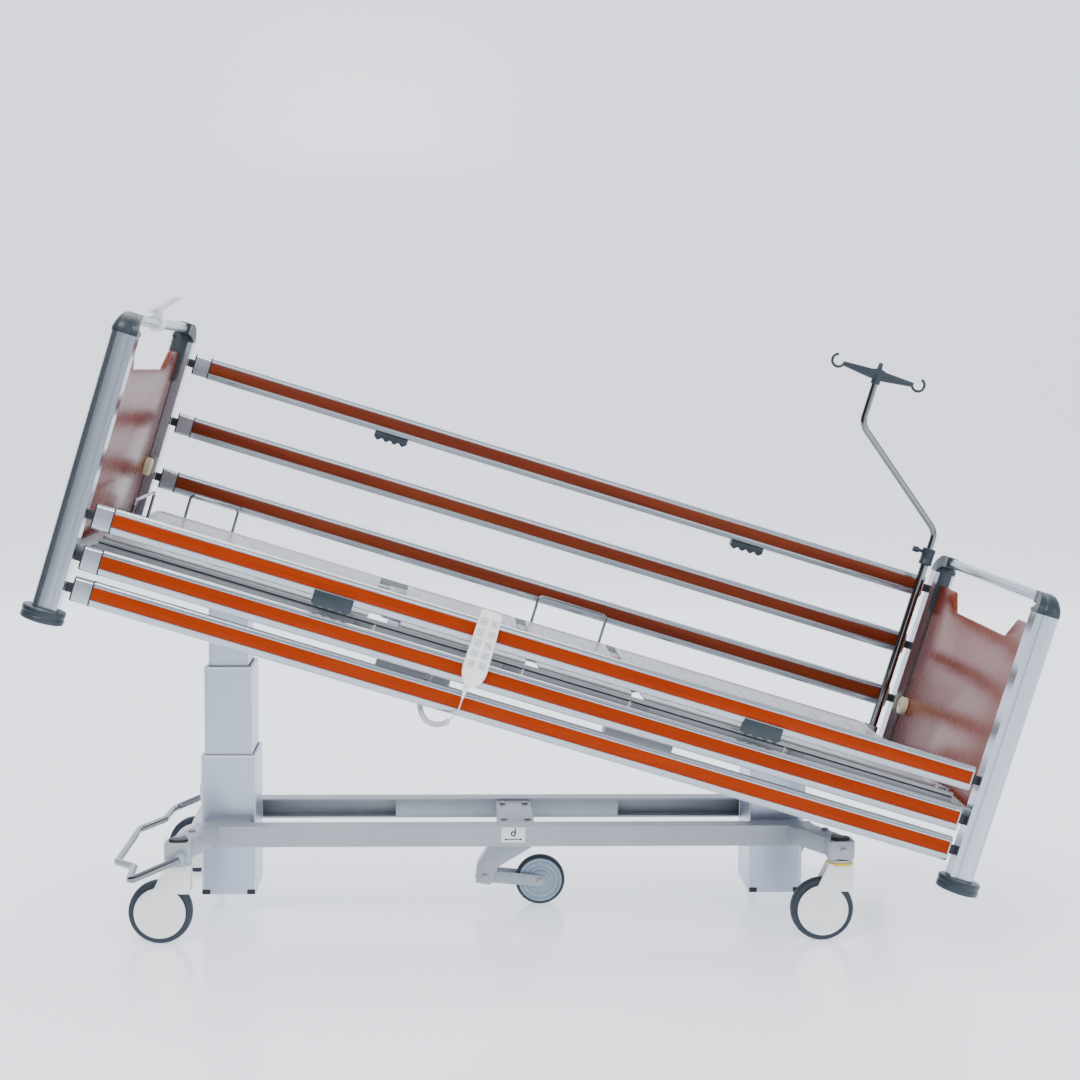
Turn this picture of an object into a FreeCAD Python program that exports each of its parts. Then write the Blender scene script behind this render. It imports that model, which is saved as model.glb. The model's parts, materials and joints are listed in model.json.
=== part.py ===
"""Adjustable hospital bed, in millimetres.

+X runs to the head end, +Y to the far side, +Z up. The origin is on the floor under the middle of
the bed. The bed frame is modelled level in its own frame and tilted about the columns' pivots, so
that it stands head down with the near guard lowered and the far guard raised.
"""
import FreeCAD, Part
import math
import os
from FreeCAD import Placement, Rotation, Vector

NEAR, FAR = -1, 1
FOOT, HEAD = -1, 1
X, Y, Z = Vector(1, 0, 0), Vector(0, 1, 0), Vector(0, 0, 1)

DRIVING = {
    # Base and casters
    "base_shift": -75, "beam_length": 1506, "beam_side": 50, "beam_y": 157, "beam_middle": -10,
    "beam_height": 215, "stem_x": 780, "stem_y": 330, "block_side": 50, "block_length": 62,
    "tyre_radius": 75, "tyre_width": 30, "caster_trail": 42, "stem_radius": 29.5,
    "cheek_radius": 58, "cheek_thick": 4, "axle_radius": 6, "axle_fit": 0.05,
    "fifth_radius": 62.5, "fifth_x": 82, "fifth_pivot_x": -58, "fifth_pivot_z": 74,
    "brake_x": -770, "brake_z": 211, "brake_radius": 9,
    # Lifting columns
    "foot_column_x": -691, "head_column_x": 666, "stage_height": 348, "column_bottom": 49,
    "outer_width": 132, "outer_depth": 180, "middle_width": 116, "middle_depth": 162,
    "inner_width": 96, "inner_depth": 136, "outer_wall": 6, "middle_wall": 7, "inner_wall": 6,
    "middle_rise": 212, "column_rise": 407.2, "pivot_above": 35,
    "pin_radius": 10, "pin_length": 226,
    # Bed frame, in its own level frame: pivot_drop is below the top of the platform
    "bed_x": 43, "pivot_drop": 45, "frame_tube": 30, "frame_half": 360,
    "post_x": 1088, "post_y": 470, "post_width": 60, "post_depth": 48, "post_bottom": -185,
    "post_top": 457, "cap_height": 50, "bar_radius": 13, "board_thick": 10, "board_half": 438,
    "bumper_radius": 49.5, "bumper_thick": 30, "panel_thick": 8, "panel_width": 840,
    "hinge_radius": 5, "hinge_drop": 7,
    "pole_x": 1010, "pole_y": 400, "pole_radius": 11, "pole_rod_radius": 9, "sleeve_bore": 11.3,
    # Side guards
    "rail_height": 58, "rail_thick": 28, "rail_top_raised": 400, "rail_middle_raised": 235,
    "rail_low_raised": 80, "rail_top_lowered": 44, "rail_middle_lowered": -53,
    "rail_low_lowered": -126, "rail_end": 1041, "rail_sleeve": 44, "sleeve_height": 57,
    "handset_length": 178, "handset_width": 58, "handset_thick": 24,
    "lead_radius": 2.5, "coil_radius": 7,
}

doc = FreeCAD.newDocument("HospitalBed")
sheet = doc.addObject("Spreadsheet::Sheet", "Sizes")
for row, (alias, number) in enumerate(DRIVING.items(), start=1):
    sheet.set(f"A{row}", alias)
    sheet.set(f"B{row}", str(number))
    sheet.setAlias(f"B{row}", alias)
doc.recompute()


def size(name):
    """A driving size, read back from the sheet. A plain number stands for itself."""
    return float(sheet.get(name)) if isinstance(name, str) else float(name)


SHIFT = Vector(size("base_shift"), 0, 0)
COLUMN_SPAN = size("head_column_x") - size("foot_column_x")
TILT = math.degrees(math.atan(size("column_rise") / COLUMN_SPAN))
ON_BASE = Placement(SHIFT, Rotation())
PIN_HEIGHT = size("column_bottom") + 7 + size("stage_height") + size("pivot_above")
nodes = []


def pivot_at(end):
    """Where a column's pivot lies along the bed, in the level bed frame."""
    slope = math.radians(TILT)
    across = size(f"{end}_column_x") - size("bed_x")
    return (across + size("pivot_drop") * math.sin(slope)) / math.cos(slope)


BED_HEIGHT = (PIN_HEIGHT + pivot_at("head") * math.sin(math.radians(TILT))
              + size("pivot_drop") * math.cos(math.radians(TILT)))
ON_BED = Placement(SHIFT + Vector(size("bed_x"), 0, BED_HEIGHT), Rotation(Y, TILT))


# ---------------------------------------------------------------- small tools

def bind(piece, **rules):
    """Bind each property to a cell of the sheet, or give it a plain number."""
    for name, rule in rules.items():
        if isinstance(rule, str):
            piece.setExpression(name, "Sizes." + rule)
        else:
            setattr(piece, name, rule)


def box(length, width, height, centre, turn=Rotation()):
    """A box round its centre. Sizes are aliases of the sheet or numbers."""
    piece = doc.addObject("Part::Box", "Box")
    bind(piece, Length=length, Width=width, Height=height)
    half = Vector(size(length), size(width), size(height)) * 0.5
    piece.Placement = Placement(Vector(*centre) - turn.multVec(half), turn)
    return piece


def span(low, high):
    """A box between two corners."""
    sides = [high[i] - low[i] for i in range(3)]
    return box(*sides, [(high[i] + low[i]) / 2 for i in range(3)])


def rod(radius, length, centre, axis=Z):
    """A cylinder round its centre, along the axis."""
    piece = doc.addObject("Part::Cylinder", "Rod")
    bind(piece, Radius=radius, Height=length)
    turn = Rotation(Z, axis)
    piece.Placement = Placement(Vector(*centre) - turn.multVec(Z) * (size(length) / 2), turn)
    return piece


def cut(base, *tools):
    """The base without the tools."""
    for tool in tools:
        piece = doc.addObject("Part::Cut", "Cut")
        piece.Base, piece.Tool = base, tool
        base = piece
    return base


def fuse(*pieces):
    """One solid made of pieces that overlap."""
    piece = doc.addObject("Part::MultiFuse", "Fuse")
    piece.Shapes = list(pieces)
    piece.Refine = True
    return piece


def rounded(base, radius, wanted):
    """Fillet the edges that the test wants."""
    doc.recompute()
    edges = [i for i, edge in enumerate(base.Shape.Edges, start=1) if wanted(edge)]
    piece = doc.addObject("Part::Fillet", "Rounded")
    piece.Base = base
    piece.Edges = [(i, radius, radius) for i in edges]
    return piece


def along(axis):
    """A test for straight edges along the axis."""
    def wanted(edge):
        first, last = edge.Vertexes[0].Point, edge.Vertexes[-1].Point
        way = last - first
        return way.Length > 0 and way.cross(axis).Length < 1e-6 * way.Length
    return wanted


def outline_body(points, thick, plane="XZ_Plane", corner=0):
    """A PartDesign body: a closed outline padded to both sides of its plane."""
    body = doc.addObject("PartDesign::Body", "Body")
    sketch = body.newObject("Sketcher::SketchObject", "Outline")
    faces = {item.Role: item for item in body.Origin.OriginFeatures}
    sketch.AttachmentSupport = (faces[plane], [""])
    sketch.MapMode = "FlatFace"
    for start, end in zip(points, points[1:] + points[:1]):
        sketch.addGeometry(Part.LineSegment(Vector(*start, 0), Vector(*end, 0)), False)
    pad = body.newObject("PartDesign::Pad", "Pad")
    pad.Profile = sketch
    bind(pad, Length=thick)
    pad.Midplane = True
    body.Tip = pad
    if not corner:
        return body
    normal = {"XZ_Plane": Y, "XY_Plane": Z, "YZ_Plane": X}[plane]
    return rounded(body, corner, along(normal))


def wheel_body(half_profile, centre):
    """A PartDesign body turned about the Y axis from (radius, y) points."""
    body = doc.addObject("PartDesign::Body", "Wheel")
    sketch = body.newObject("Sketcher::SketchObject", "Section")
    faces = {item.Role: item for item in body.Origin.OriginFeatures}
    sketch.AttachmentSupport = (faces["XY_Plane"], [""])
    sketch.MapMode = "FlatFace"
    for start, end in zip(half_profile, half_profile[1:] + half_profile[:1]):
        sketch.addGeometry(Part.LineSegment(Vector(*start, 0), Vector(*end, 0)), False)
    turned = body.newObject("PartDesign::Revolution", "Turned")
    turned.Profile = sketch
    turned.ReferenceAxis = (sketch, ["V_Axis"])
    turned.Angle = 360
    body.Tip = turned
    body.Placement = Placement(Vector(*centre), Rotation())
    return body


def bent_path(points, radius):
    """Straight runs joined by tangent arcs of one radius, or as large as the runs allow."""
    points = [Vector(*point) for point in points]
    edges, start, radii = [], points[0], []
    for before, corner, after in zip(points, points[1:], points[2:]):
        back, on = (before - corner), (after - corner)
        turn = math.pi - back.getAngle(on)
        room = 0.45 * min(back.Length, on.Length)
        bend = min(radius, room / math.tan(turn / 2))
        radii.append(bend)
        reach = bend * math.tan(turn / 2)
        back.normalize()
        on.normalize()
        enter, leave = corner + back * reach, corner + on * reach
        inward = (back + on).normalize()
        middle = corner + inward * (bend / math.cos(turn / 2) - bend)
        edges.append(Part.LineSegment(start, enter).toShape())
        edges.append(Part.Arc(enter, middle, leave).toShape())
        start = leave
    edges.append(Part.LineSegment(start, points[-1]).toShape())
    return Part.Wire(edges), radii


def wire(points, thick, bend=1e6):
    """A round bar bent along the points."""
    path, radii = bent_path(points, bend)
    first = path.Edges[0]
    way = first.tangentAt(first.FirstParameter)
    ring = Part.Wire(Part.Circle(Vector(*points[0]), way, size(thick)).toShape())
    solid = path.makePipeShell([ring], True, False)
    piece = doc.addObject("Part::Feature", "Wire")
    piece.Shape = solid
    area = math.pi * size(thick) ** 2
    print(f"bar r {size(thick)}: length {path.Length:.0f}, volume / (section x length) "
          f"{solid.Volume / (area * path.Length):.4f}, least bend {min(radii, default=0):.0f}")
    return piece


def node(name, *pieces, place=ON_BED):
    """One sub-part: its solids under one name, put in place."""
    piece = doc.addObject("Part::Compound", name)
    piece.Label = name
    piece.Links = list(pieces)
    piece.Placement = place
    nodes.append(piece)


# ---------------------------------------------------------------- base

def base_frame():
    """Two side beams, cross members and four arms out to the caster blocks."""
    pieces, end_y = [], size("stem_y") - size("block_side") / 2
    height, side = size("beam_height"), size("beam_side")
    inner = size("beam_y") - side / 2
    column_half = size("outer_depth") / 2
    for across in (NEAR, FAR):
        pieces.append(box("beam_length", "beam_side", "beam_side",
                          (size("beam_middle"), across * size("beam_y"), height)))
        for x in (size("foot_column_x"), size("head_column_x")):
            low, high = sorted((across * column_half, across * inner))
            pieces.append(span((x - 55, low, height - 20), (x + 55, high, height + 20)))
    pieces.append(span((-28, -inner, height - 20), (62, inner, height + 20)))
    for end in (FOOT, HEAD):
        tip = size("beam_middle") + end * size("beam_length") / 2
        stem = end * size("stem_x")
        for across in (NEAR, FAR):
            wall = across * (size("beam_y") + side / 2)
            arm = [(tip, wall), (tip - end * 60, wall), (stem - end * 31, across * end_y),
                   (stem + end * 31, across * end_y)]
            bar = outline_body(arm, 42, "XY_Plane")
            bar.Placement.Base = Vector(0, 0, height + 3)
            block = box("block_length", "block_side", 45, (stem, across * size("stem_y"), height + 4))
            block = rounded(block, 8, along(Z))
            if end == FOOT:
                outside = across * (size("stem_y") + size("block_side") / 2)
                block = cut(block, rod(size("brake_radius") + size("axle_fit"), 30,
                                       (size("brake_x"), outside, size("brake_z")), Y))
            pieces += [bar, block]
    node("base_frame", *pieces, place=ON_BASE)


def arm_caps():
    """The oval plugs over the caster stems and the bolts in the arms' ends."""
    pieces = []
    for end in (FOOT, HEAD):
        for across in (NEAR, FAR):
            x, y = end * size("stem_x"), across * size("stem_y")
            top = size("beam_height") + 26.5
            pieces.append(rounded(box(46, 34, 6, (x, y, top + 3)), 16.5, along(Z)))
    node("arm_caps", *pieces, place=ON_BASE)


def casters():
    """Four swivel casters: a white housing round a wheel on its axle."""
    width, radius = size("tyre_width"), size("tyre_radius")
    thick, trail = size("cheek_thick"), size("caster_trail")
    bore = size("axle_radius") + size("axle_fit")
    gap = width / 2 + 3
    names = {(FOOT, NEAR): "foot_near", (FOOT, FAR): "foot_far",
             (HEAD, NEAR): "head_near", (HEAD, FAR): "head_far"}
    for (end, across), name in names.items():
        x, y = end * size("stem_x"), across * size("stem_y")
        axle = x - trail
        pieces = [rod("stem_radius", 7.6, (x, y, 192.4))]
        pieces.append(span((x - 28, y - gap, 156), (x + 28, y + gap, 188.6)))
        for side in (-1, 1):
            flank = y + side * (gap + thick / 2)
            disc = rod("cheek_radius", "cheek_thick", (axle, flank, radius), Y)
            neck = outline_body([(axle - 14, radius + 40), (axle + 52, radius - 8),
                                 (x + 29, radius + 20), (x + 29, 188.6), (x - 29, 188.6),
                                 (x - 29, 140)], "cheek_thick")
            neck.Placement.Base = Vector(0, flank, 0)
            pieces.append(fuse(disc, neck))
        pieces.append(rod("axle_radius", 2 * gap, (axle, y, radius), Y))
        node(f"caster_housing_{name}", *pieces, place=ON_BASE)
        half, hub = width / 2, half_hub(width)
        profile = [(bore, -hub), (bore, hub), (30, hub), (34, half - 4), (56, half - 4),
                   (60, half), (radius - 7, half), (radius, half - 8), (radius, 8 - half),
                   (radius - 7, -half), (60, -half), (56, 4 - half), (34, 4 - half), (30, -hub)]
        node(f"caster_wheel_{name}", wheel_body(profile, (axle, y, radius)), place=ON_BASE)


def half_hub(width):
    """Half the length of a wheel's hub: it stands 2 mm proud of the tyre each side."""
    return width / 2 + 2


def fifth_wheel():
    """The middle steering wheel in its sprung fork under a pressed bracket."""
    x, z = size("fifth_pivot_x"), size("fifth_pivot_z")
    wheel_x, radius = size("fifth_x"), size("fifth_radius")
    pin, bore = size("axle_radius"), size("axle_radius") + size("axle_fit")
    under_beam = size("beam_height") - 20
    pieces = [span((-26, -40, under_beam - 8), (60, 40, under_beam))]
    for side in (-1, 1):
        plate = outline_body([(x - 24, z - 14), (x + 14, z - 20), (x + 34, z + 26), (58, 150),
                              (58, under_beam - 8), (-24, under_beam - 8), (x - 18, z + 30)], 4)
        plate.Placement.Base = Vector(0, side * 27, 0)
        pieces.append(plate)
    pieces.append(rod("axle_radius", 50, (x, 0, z), Y))
    node("fifth_wheel_bracket", *pieces, place=ON_BASE)

    arms = []
    for side in (-1, 1):
        arm = outline_body([(x - 14, z - 13), (wheel_x - 10, radius - 14), (wheel_x + 12, radius - 8),
                            (wheel_x + 12, radius + 10), (wheel_x - 6, radius + 15),
                            (x + 6, z + 16), (x - 14, z + 12)], 4)
        arm.Placement.Base = Vector(0, side * 21, 0)
        arms.append(cut(arm, rod(bore, 6, (x, side * 21, z), Y)))
    arms.append(rod("axle_radius", 38, (wheel_x, 0, radius), Y))
    node("fifth_wheel_fork", *arms, place=ON_BASE)

    profile = [(bore, -17), (bore, 17), (24, 17), (26, 12), (46, 12), (49, 14), (radius - 6, 14),
               (radius, 8), (radius, -8), (radius - 6, -14), (49, -14), (46, -12), (26, -12), (24, -17)]
    node("fifth_wheel", wheel_body(profile, (wheel_x, 0, radius)), place=ON_BASE)


def brake_bar():
    """The chrome foot bar of the central brake, between two hexagonal hubs on stub shafts."""
    hub_x, hub_z, out = size("brake_x"), size("brake_z"), 382
    wall = size("stem_y") + size("block_side") / 2
    pieces = []
    for across in (NEAR, FAR):
        hexagon = [(hub_x + 14 * math.cos(math.radians(60 * i)), hub_z + 14 * math.sin(math.radians(60 * i)))
                   for i in range(6)]
        hub = outline_body(hexagon, 24)
        hub.Placement.Base = Vector(0, across * (out - 8), 0)
        pieces.append(hub)
        pieces.append(rod("brake_radius", 34, (hub_x, across * (wall + 6), hub_z), Y))
    low, tread = (-888, 160), (-950, 152)
    route = [(hub_x, -out, hub_z), (low[0], -out, low[1]), (low[0] - 8, -250, low[1]),
             (tread[0], -170, tread[1]), (tread[0], 170, tread[1]), (low[0] - 8, 250, low[1]),
             (low[0], out, low[1]), (hub_x, out, hub_z)]
    pieces.append(wire(route, 9, bend=24))
    node("brake_bar", fuse(*pieces), place=ON_BASE)


# ---------------------------------------------------------------- lifting columns

def stage(width, depth, height, wall, x, bottom, closed=0):
    """One stage of a column: a rounded rectangular tube, open or closed at one end (-1 or 1)."""
    outer = rounded(box(width, depth, height, (x, 0, bottom + size(height) / 2)), 12, along(Z))
    hollow_size = [size(width) - 2 * size(wall), size(depth) - 2 * size(wall)]
    plate = 5
    hollow = box(*hollow_size, size(height) + 2 * plate,
                 (x, 0, bottom + size(height) / 2 - 2 * plate * closed))
    return cut(outer, rounded(hollow, 6, along(Z)))


def columns():
    """Two telescopic columns. The foot one stands raised, the head one is down."""
    rise = {"foot": (size("middle_rise"), size("column_rise")), "head": (0, 0)}
    for end, (middle_up, inner_up) in rise.items():
        x = size(f"{end}_column_x")
        low = size("column_bottom")
        node(f"{end}_column_outer",
             stage("outer_width", "outer_depth", "stage_height", "outer_wall", x, low, closed=-1),
             place=ON_BASE)
        node(f"{end}_column_middle",
             stage("middle_width", "middle_depth", "stage_height", "middle_wall", x, low + 6 + middle_up),
             place=ON_BASE)
        top = low + 7 + inner_up + size("stage_height")
        inner = stage("inner_width", "inner_depth", "stage_height", "inner_wall", x,
                      top - size("stage_height"), closed=1)
        pin_z = top + size("pivot_above")
        pieces, bore = [inner], size("pin_radius") + size("axle_fit")
        for side in (-1, 1):
            ear = outline_body([(x - 22, top), (x + 22, top), (x + 22, pin_z + 4), (x + 12, pin_z + 18),
                                (x - 12, pin_z + 18), (x - 22, pin_z + 4)], 12)
            ear.Placement.Base = Vector(0, side * 60, 0)
            if end == "head":
                ear = cut(ear, rod(bore, 14, (x, side * 60, pin_z), Y))
            pieces.append(ear)
        if end == "head":
            node("head_column_inner", *pieces, place=ON_BASE)
            node("head_pivot_pin", rod("pin_radius", "pin_length", (x, 0, pin_z), Y), place=ON_BASE)
        else:
            pin = rod("pin_radius", "pin_length", (x, 0, pin_z), Y)
            node("foot_column_inner", inner, fuse(pin, *pieces[1:]), place=ON_BASE)


# ---------------------------------------------------------------- bed frame

def pivot_brackets():
    """Plates that hang the frame on the head pin, and a slotted pair on the foot pin."""
    z, out = -size("pivot_drop"), 104
    head, foot = pivot_at("head"), pivot_at("foot")
    travel = COLUMN_SPAN / math.cos(math.radians(TILT)) - COLUMN_SPAN
    slot_half = size("pin_radius") + 6
    pieces = []
    for side in (-1, 1):
        plate = span((head - 94, side * out - 4, z - 20), (head + 94, side * out + 4, z + 28))
        bore = rod(size("pin_radius") + size("axle_fit"), 12, (head, side * out, z), Y)
        pieces.append(cut(plate, bore))
        plate = span((foot - 94, side * out - 4, z - 24), (foot + travel + 94, side * out + 4, z + 28))
        slot = span((foot - 12, side * out - 6, z - slot_half), (foot + travel + 12, side * out + 6, z + slot_half))
        pieces.append(cut(plate, rounded(slot, 10, along(Y))))
    node("pivot_brackets", *pieces)
    return head, foot, travel


def frame_tubes(head, foot, travel):
    """Two long tubes joined by cross tubes in front of and behind each column."""
    side, half = size("frame_tube"), size("frame_half")
    z = -size("pivot_drop")
    low, high = z - side / 2, z + side / 2
    ends, out_y = 1040, size("post_y") - size("post_depth") / 2
    pieces = []
    for across in (NEAR, FAR):
        y = across * half
        pieces.append(span((-ends, y - side / 2, low), (ends, y + side / 2, high)))
    crossings = [foot - 94 - side / 2, foot + travel + 94 + side / 2, head - 94 - side / 2,
                 head + 94 + side / 2, -330, 250]
    for x in crossings:
        pieces.append(span((x - side / 2, side / 2 - half, low), (x + side / 2, half - side / 2, high)))
    for end in (FOOT, HEAD):
        x_low, x_high = sorted((end * ends, end * (ends + side)))
        pieces.append(span((x_low, -out_y, low), (x_high, out_y, high)))
    node("frame_tubes", *pieces)


def side_profiles():
    """The long pale covers that close the frame's sides between the end cross tubes."""
    pieces = []
    for across in (NEAR, FAR):
        cover = span((-1020, across * 441 - 5, -72), (1020, across * 441 + 5, -2))
        pieces.append(rounded(cover, 4, along(X)))
        for x in (-940, -500, -150, 150, 420, 820):
            y_low, y_high = sorted((across * 375, across * 436))
            pieces.append(span((x - 20, y_low, -58), (x + 20, y_high, -34)))
    node("side_profiles", *pieces)


def platform():
    """Four sheet panels: the seat is fixed, the others are hinged."""
    thick = size("panel_thick")
    spans = {"leg_panel": (-1018, -393), "thigh_panel": (-317, -16), "seat_panel": (14, 241),
             "backrest_panel": (269, 985)}
    for name, (low, high) in spans.items():
        plate = box(high - low, "panel_width", "panel_thick", ((low + high) / 2, 0, -thick / 2))
        pieces = [rounded(plate, 16, along(Z))]
        if name == "seat_panel":
            for y in (-300, 300):
                pieces.append(span((60, y - 20, -30), (200, y + 20, -thick)))
        for y in (-250, 250):
            pieces += lugs(name, y)
        node(name, *pieces)
    drop = size("hinge_drop")
    node("platform_hinges", *[rod("hinge_radius", 96, (x, y, -drop), Y) for x in (-4, 255) for y in (-250, 250)])


def lugs(name, y):
    """The bored ears that carry a panel on its hinge pins; the knee's pins belong to the thigh."""
    ears = {"leg_panel": [(-393, -355, 0)], "backrest_panel": [(269, 255, 0)],
            "thigh_panel": [(-16, -4, 0), (-317, -355, -26), (-317, -355, 26)],
            "seat_panel": [(14, -4, -26), (14, -4, 26), (241, 255, -26), (241, 255, 26)]}[name]
    made, drop = [], size("hinge_drop")
    for edge, axis, aside in ears:
        past = axis + 9 * (1 if axis > edge else -1)
        low, high = sorted((edge, past))
        ear = span((low, y + aside - 10, -15), (high, y + aside + 10, 0))
        knee_pin = name == "thigh_panel" and axis == -355
        bore = size("hinge_radius") + (0 if knee_pin else size("axle_fit"))
        made.append(cut(ear, rod(bore, 22, (axis, y + aside, -drop), Y)))
    if name == "thigh_panel":
        made.append(rod("hinge_radius", 96, (-355, y, -drop), Y))
    return made


def hoop(foot_a, foot_b, height, low=0, bend=14):
    """A bent wire hoop between two feet."""
    top_a = (foot_a[0], foot_a[1], height)
    top_b = (foot_b[0], foot_b[1], height)
    return wire([(*foot_a, low), top_a, top_b, (*foot_b, low)], 4, bend)


def retainers():
    """The bent wire loops that keep the mattress in its place: one stands on the leg panel's end, the
    others on the panels' far edges."""
    beside, under = size("panel_width") / 2 + 4, -size("panel_thick")
    node("leg_retainers", hoop((-1005, -150), (-1005, 150), 70),
         hoop((-944, beside), (-812, beside), 64, under))
    node("seat_retainer", hoop((31, beside), (224, beside), 74, under))


def drive_units():
    """The two linear drives and the control box under the platform."""
    pieces = []
    for start, y, way in ((235, -150, -1), (-175, 150, 1)):
        low, high = sorted((start, start - way * 170))
        pieces.append(rounded(span((low, y - 40, -148), (high, y + 40, -60)), 14, along(X)))
        pieces.append(rod(16, 120, (start + way * 60, y, -104), X))
    node("drive_units", *pieces)
    node("control_box", rounded(span((-345, -330, -150), (-165, -130, -60)), 12, along(Z)))


def boards():
    """Head and foot board: posts, elbow caps, grab bars and laminate panels."""
    x, y = size("post_x"), size("post_y")
    low, top = size("post_bottom"), size("post_top")
    cap_top = top + size("cap_height")
    bar_z = cap_top - 20
    reach = 410
    posts, caps, bars, panels = [], [], [], []
    for end in (FOOT, HEAD):
        for across in (NEAR, FAR):
            post = box("post_width", "post_depth", top - low, (end * x, across * y, (top + low) / 2))
            outside = lambda edge: along(Z)(edge) and edge.Vertexes[0].X * end > x
            posts.append(rounded(post, 20, outside))
            cap = box(62, 50, "cap_height", (end * x, across * y, (top + cap_top) / 2))
            over = lambda edge: along(X)(edge) and edge.Vertexes[0].Z > cap_top - 1 \
                and edge.Vertexes[0].Y * across > y
            y_low, y_high = sorted((across * reach, across * (y - 20)))
            elbow = rod(17, y_high - y_low, (end * x, (y_low + y_high) / 2, bar_z), Y)
            tongue_y = across * (y - size("post_depth") / 2 - 3)
            tongue = box(32, 6, 150, (end * x, tongue_y, top - 45))
            tongue = rounded(tongue, 15, lambda edge: along(Y)(edge) and edge.Vertexes[0].Z < top)
            caps.append(fuse(rounded(cap, 34, over), elbow, tongue))
        bars.append(rod("bar_radius", 2 * reach, (end * x, 0, bar_z), Y))
        half = size("board_half")
        outline = [(-half, -50), (half, -50), (half, 420), (half - 120, 420), (half - 200, 370),
                   (200 - half, 370), (120 - half, 420), (-half, 420)]
        panel = outline_body(outline, "board_thick", "YZ_Plane", corner=12)
        panel.Placement.Base = panel.Placement.Base + Vector(end * x, 0, 0)
        panels.append(panel)
    node("board_posts", *posts)
    node("board_caps", *caps)
    node("board_top_bars", *bars)
    node("board_panels", *panels)


def bumpers():
    """Four corner bumper rollers that turn under the posts."""
    low = size("post_bottom")
    for end, end_name in ((FOOT, "foot"), (HEAD, "head")):
        for across, side_name in ((NEAR, "near"), (FAR, "far")):
            centre = (end * size("post_x"), across * size("post_y"), low - 0.5 - size("bumper_thick") / 2)
            disc = rod("bumper_radius", "bumper_thick", centre)
            node(f"bumper_{end_name}_{side_name}", rounded(disc, 5, lambda edge: edge.Closed))


def drip_pole():
    """The infusion pole in its corner sleeve, with its clamp, rod and hook head."""
    x, y = size("pole_x"), size("pole_y")
    radius, thin = size("pole_radius"), size("pole_rod_radius")
    sleeves = []
    for across in (NEAR, FAR):
        sleeve = rod(radius + 5, 60, (x, across * y, -30))
        lug = span((x + 8, across * y - 10, -58), (1040, across * y + 10, -34))
        sleeves.append(cut(fuse(sleeve, lug), rod("sleeve_bore", 62, (x, across * y, -30))))
    node("pole_sleeves", *sleeves)
    tube = rod("pole_radius", 476, (x, y, 224))
    node("pole_tube", cut(tube, rod(thin + 0.5, 460, (x, y, 250))))
    collar = rod(radius + 7, 46, (x, y, 485))
    knob = rod(8, 30, (x - 30, y, 496), X)
    node("pole_clamp", cut(fuse(collar, knob), rod(thin + 0.5, 60, (x, y, 485))))
    head_x, head_z = x - 282, 915
    rod_route = [(x, y, 230), (x, y, 556), (head_x, y, 776), (head_x, y, head_z - 12)]
    node("pole_rod", wire(rod_route, "pole_rod_radius", bend=45))
    bar = outline_body([(head_x - 100, head_z + 8), (head_x - 100, head_z - 4), (head_x - 20, head_z - 14),
                        (head_x - 12, head_z - 26), (head_x + 12, head_z - 26), (head_x + 20, head_z - 14),
                        (head_x + 100, head_z - 4), (head_x + 100, head_z + 8), (head_x + 20, head_z + 12),
                        (head_x + 6, head_z + 34), (head_x - 6, head_z + 34), (head_x - 20, head_z + 12)], 22)
    bar.Placement.Base = Vector(0, y, 0)
    socket = rod(thin + 0.3, 40, (head_x, y, head_z - 22))
    hooks = []
    for way in (-1, 1):
        centre = (head_x + way * 114, head_z + 6)
        ring = [(centre[0] + way * 17 * math.cos(math.radians(a)), y, centre[1] + 17 * math.sin(math.radians(a)))
                for a in range(-160, 71, 46)]
        hooks.append(wire(ring, 4))
    node("pole_head", fuse(cut(bar, socket), *hooks))


def foot_controls():
    """The nurse's thin control panel, clipped on the foot board's grab bar."""
    x, z = -size("post_x"), size("post_top") + size("cap_height") - 20
    clip = rod(size("bar_radius") + 8, 46, (x, -60, z), Y)
    clip = cut(clip, rod(size("bar_radius") + 0.2, 50, (x, -60, z), Y))
    tilt = Rotation(Y, -48)
    arm = box(14, 20, 32, (x, -60, z + 30))
    plate = box(76, 120, 9, (x + 6, -60, z + 50), tilt)
    node("foot_control_panel", fuse(clip, arm, rounded(plate, 3, lambda edge: edge.Length > 50)))


# ---------------------------------------------------------------- side guards

def guards():
    """Three rails each side, each with a sleeved foot end and grips under the top one."""
    levels = {NEAR: ("near", "lowered"), FAR: ("far", "raised")}
    end, height = size("rail_end"), size("rail_height")
    for across, (side_name, state) in levels.items():
        y = across * size("post_y")
        for level in ("top", "middle", "low"):
            z = size(f"rail_{level}_{state}")
            length = 2 * end - size("rail_sleeve")
            main = box(length, "rail_thick", "rail_height", (size("rail_sleeve") / 2, y, z))
            sleeve = box("rail_sleeve", 24, "sleeve_height", (size("rail_sleeve") / 2 - end, y, z))
            pivots = [box(15, 20, 34, (way * (end + 7.5), y, z)) for way in (-1, 1)]
            node(f"{side_name}_rail_{level}", rounded(main, 9, along(X)), rounded(sleeve, 8, along(X)), *pivots)
        z = size(f"rail_top_{state}")
        grips = []
        for x in (-478, 540):
            under = z - height / 2 - 9
            grip = box(94, 26, 18, (x, y, under))
            outer = y + across * (size("rail_thick") / 2 + 3)
            lip = box(94, 6, 32, (x, outer, z - height / 2 - 2))
            grips += [rounded(grip, 4, along(X)), lip]
        node(f"{side_name}_grips", *grips)


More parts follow.
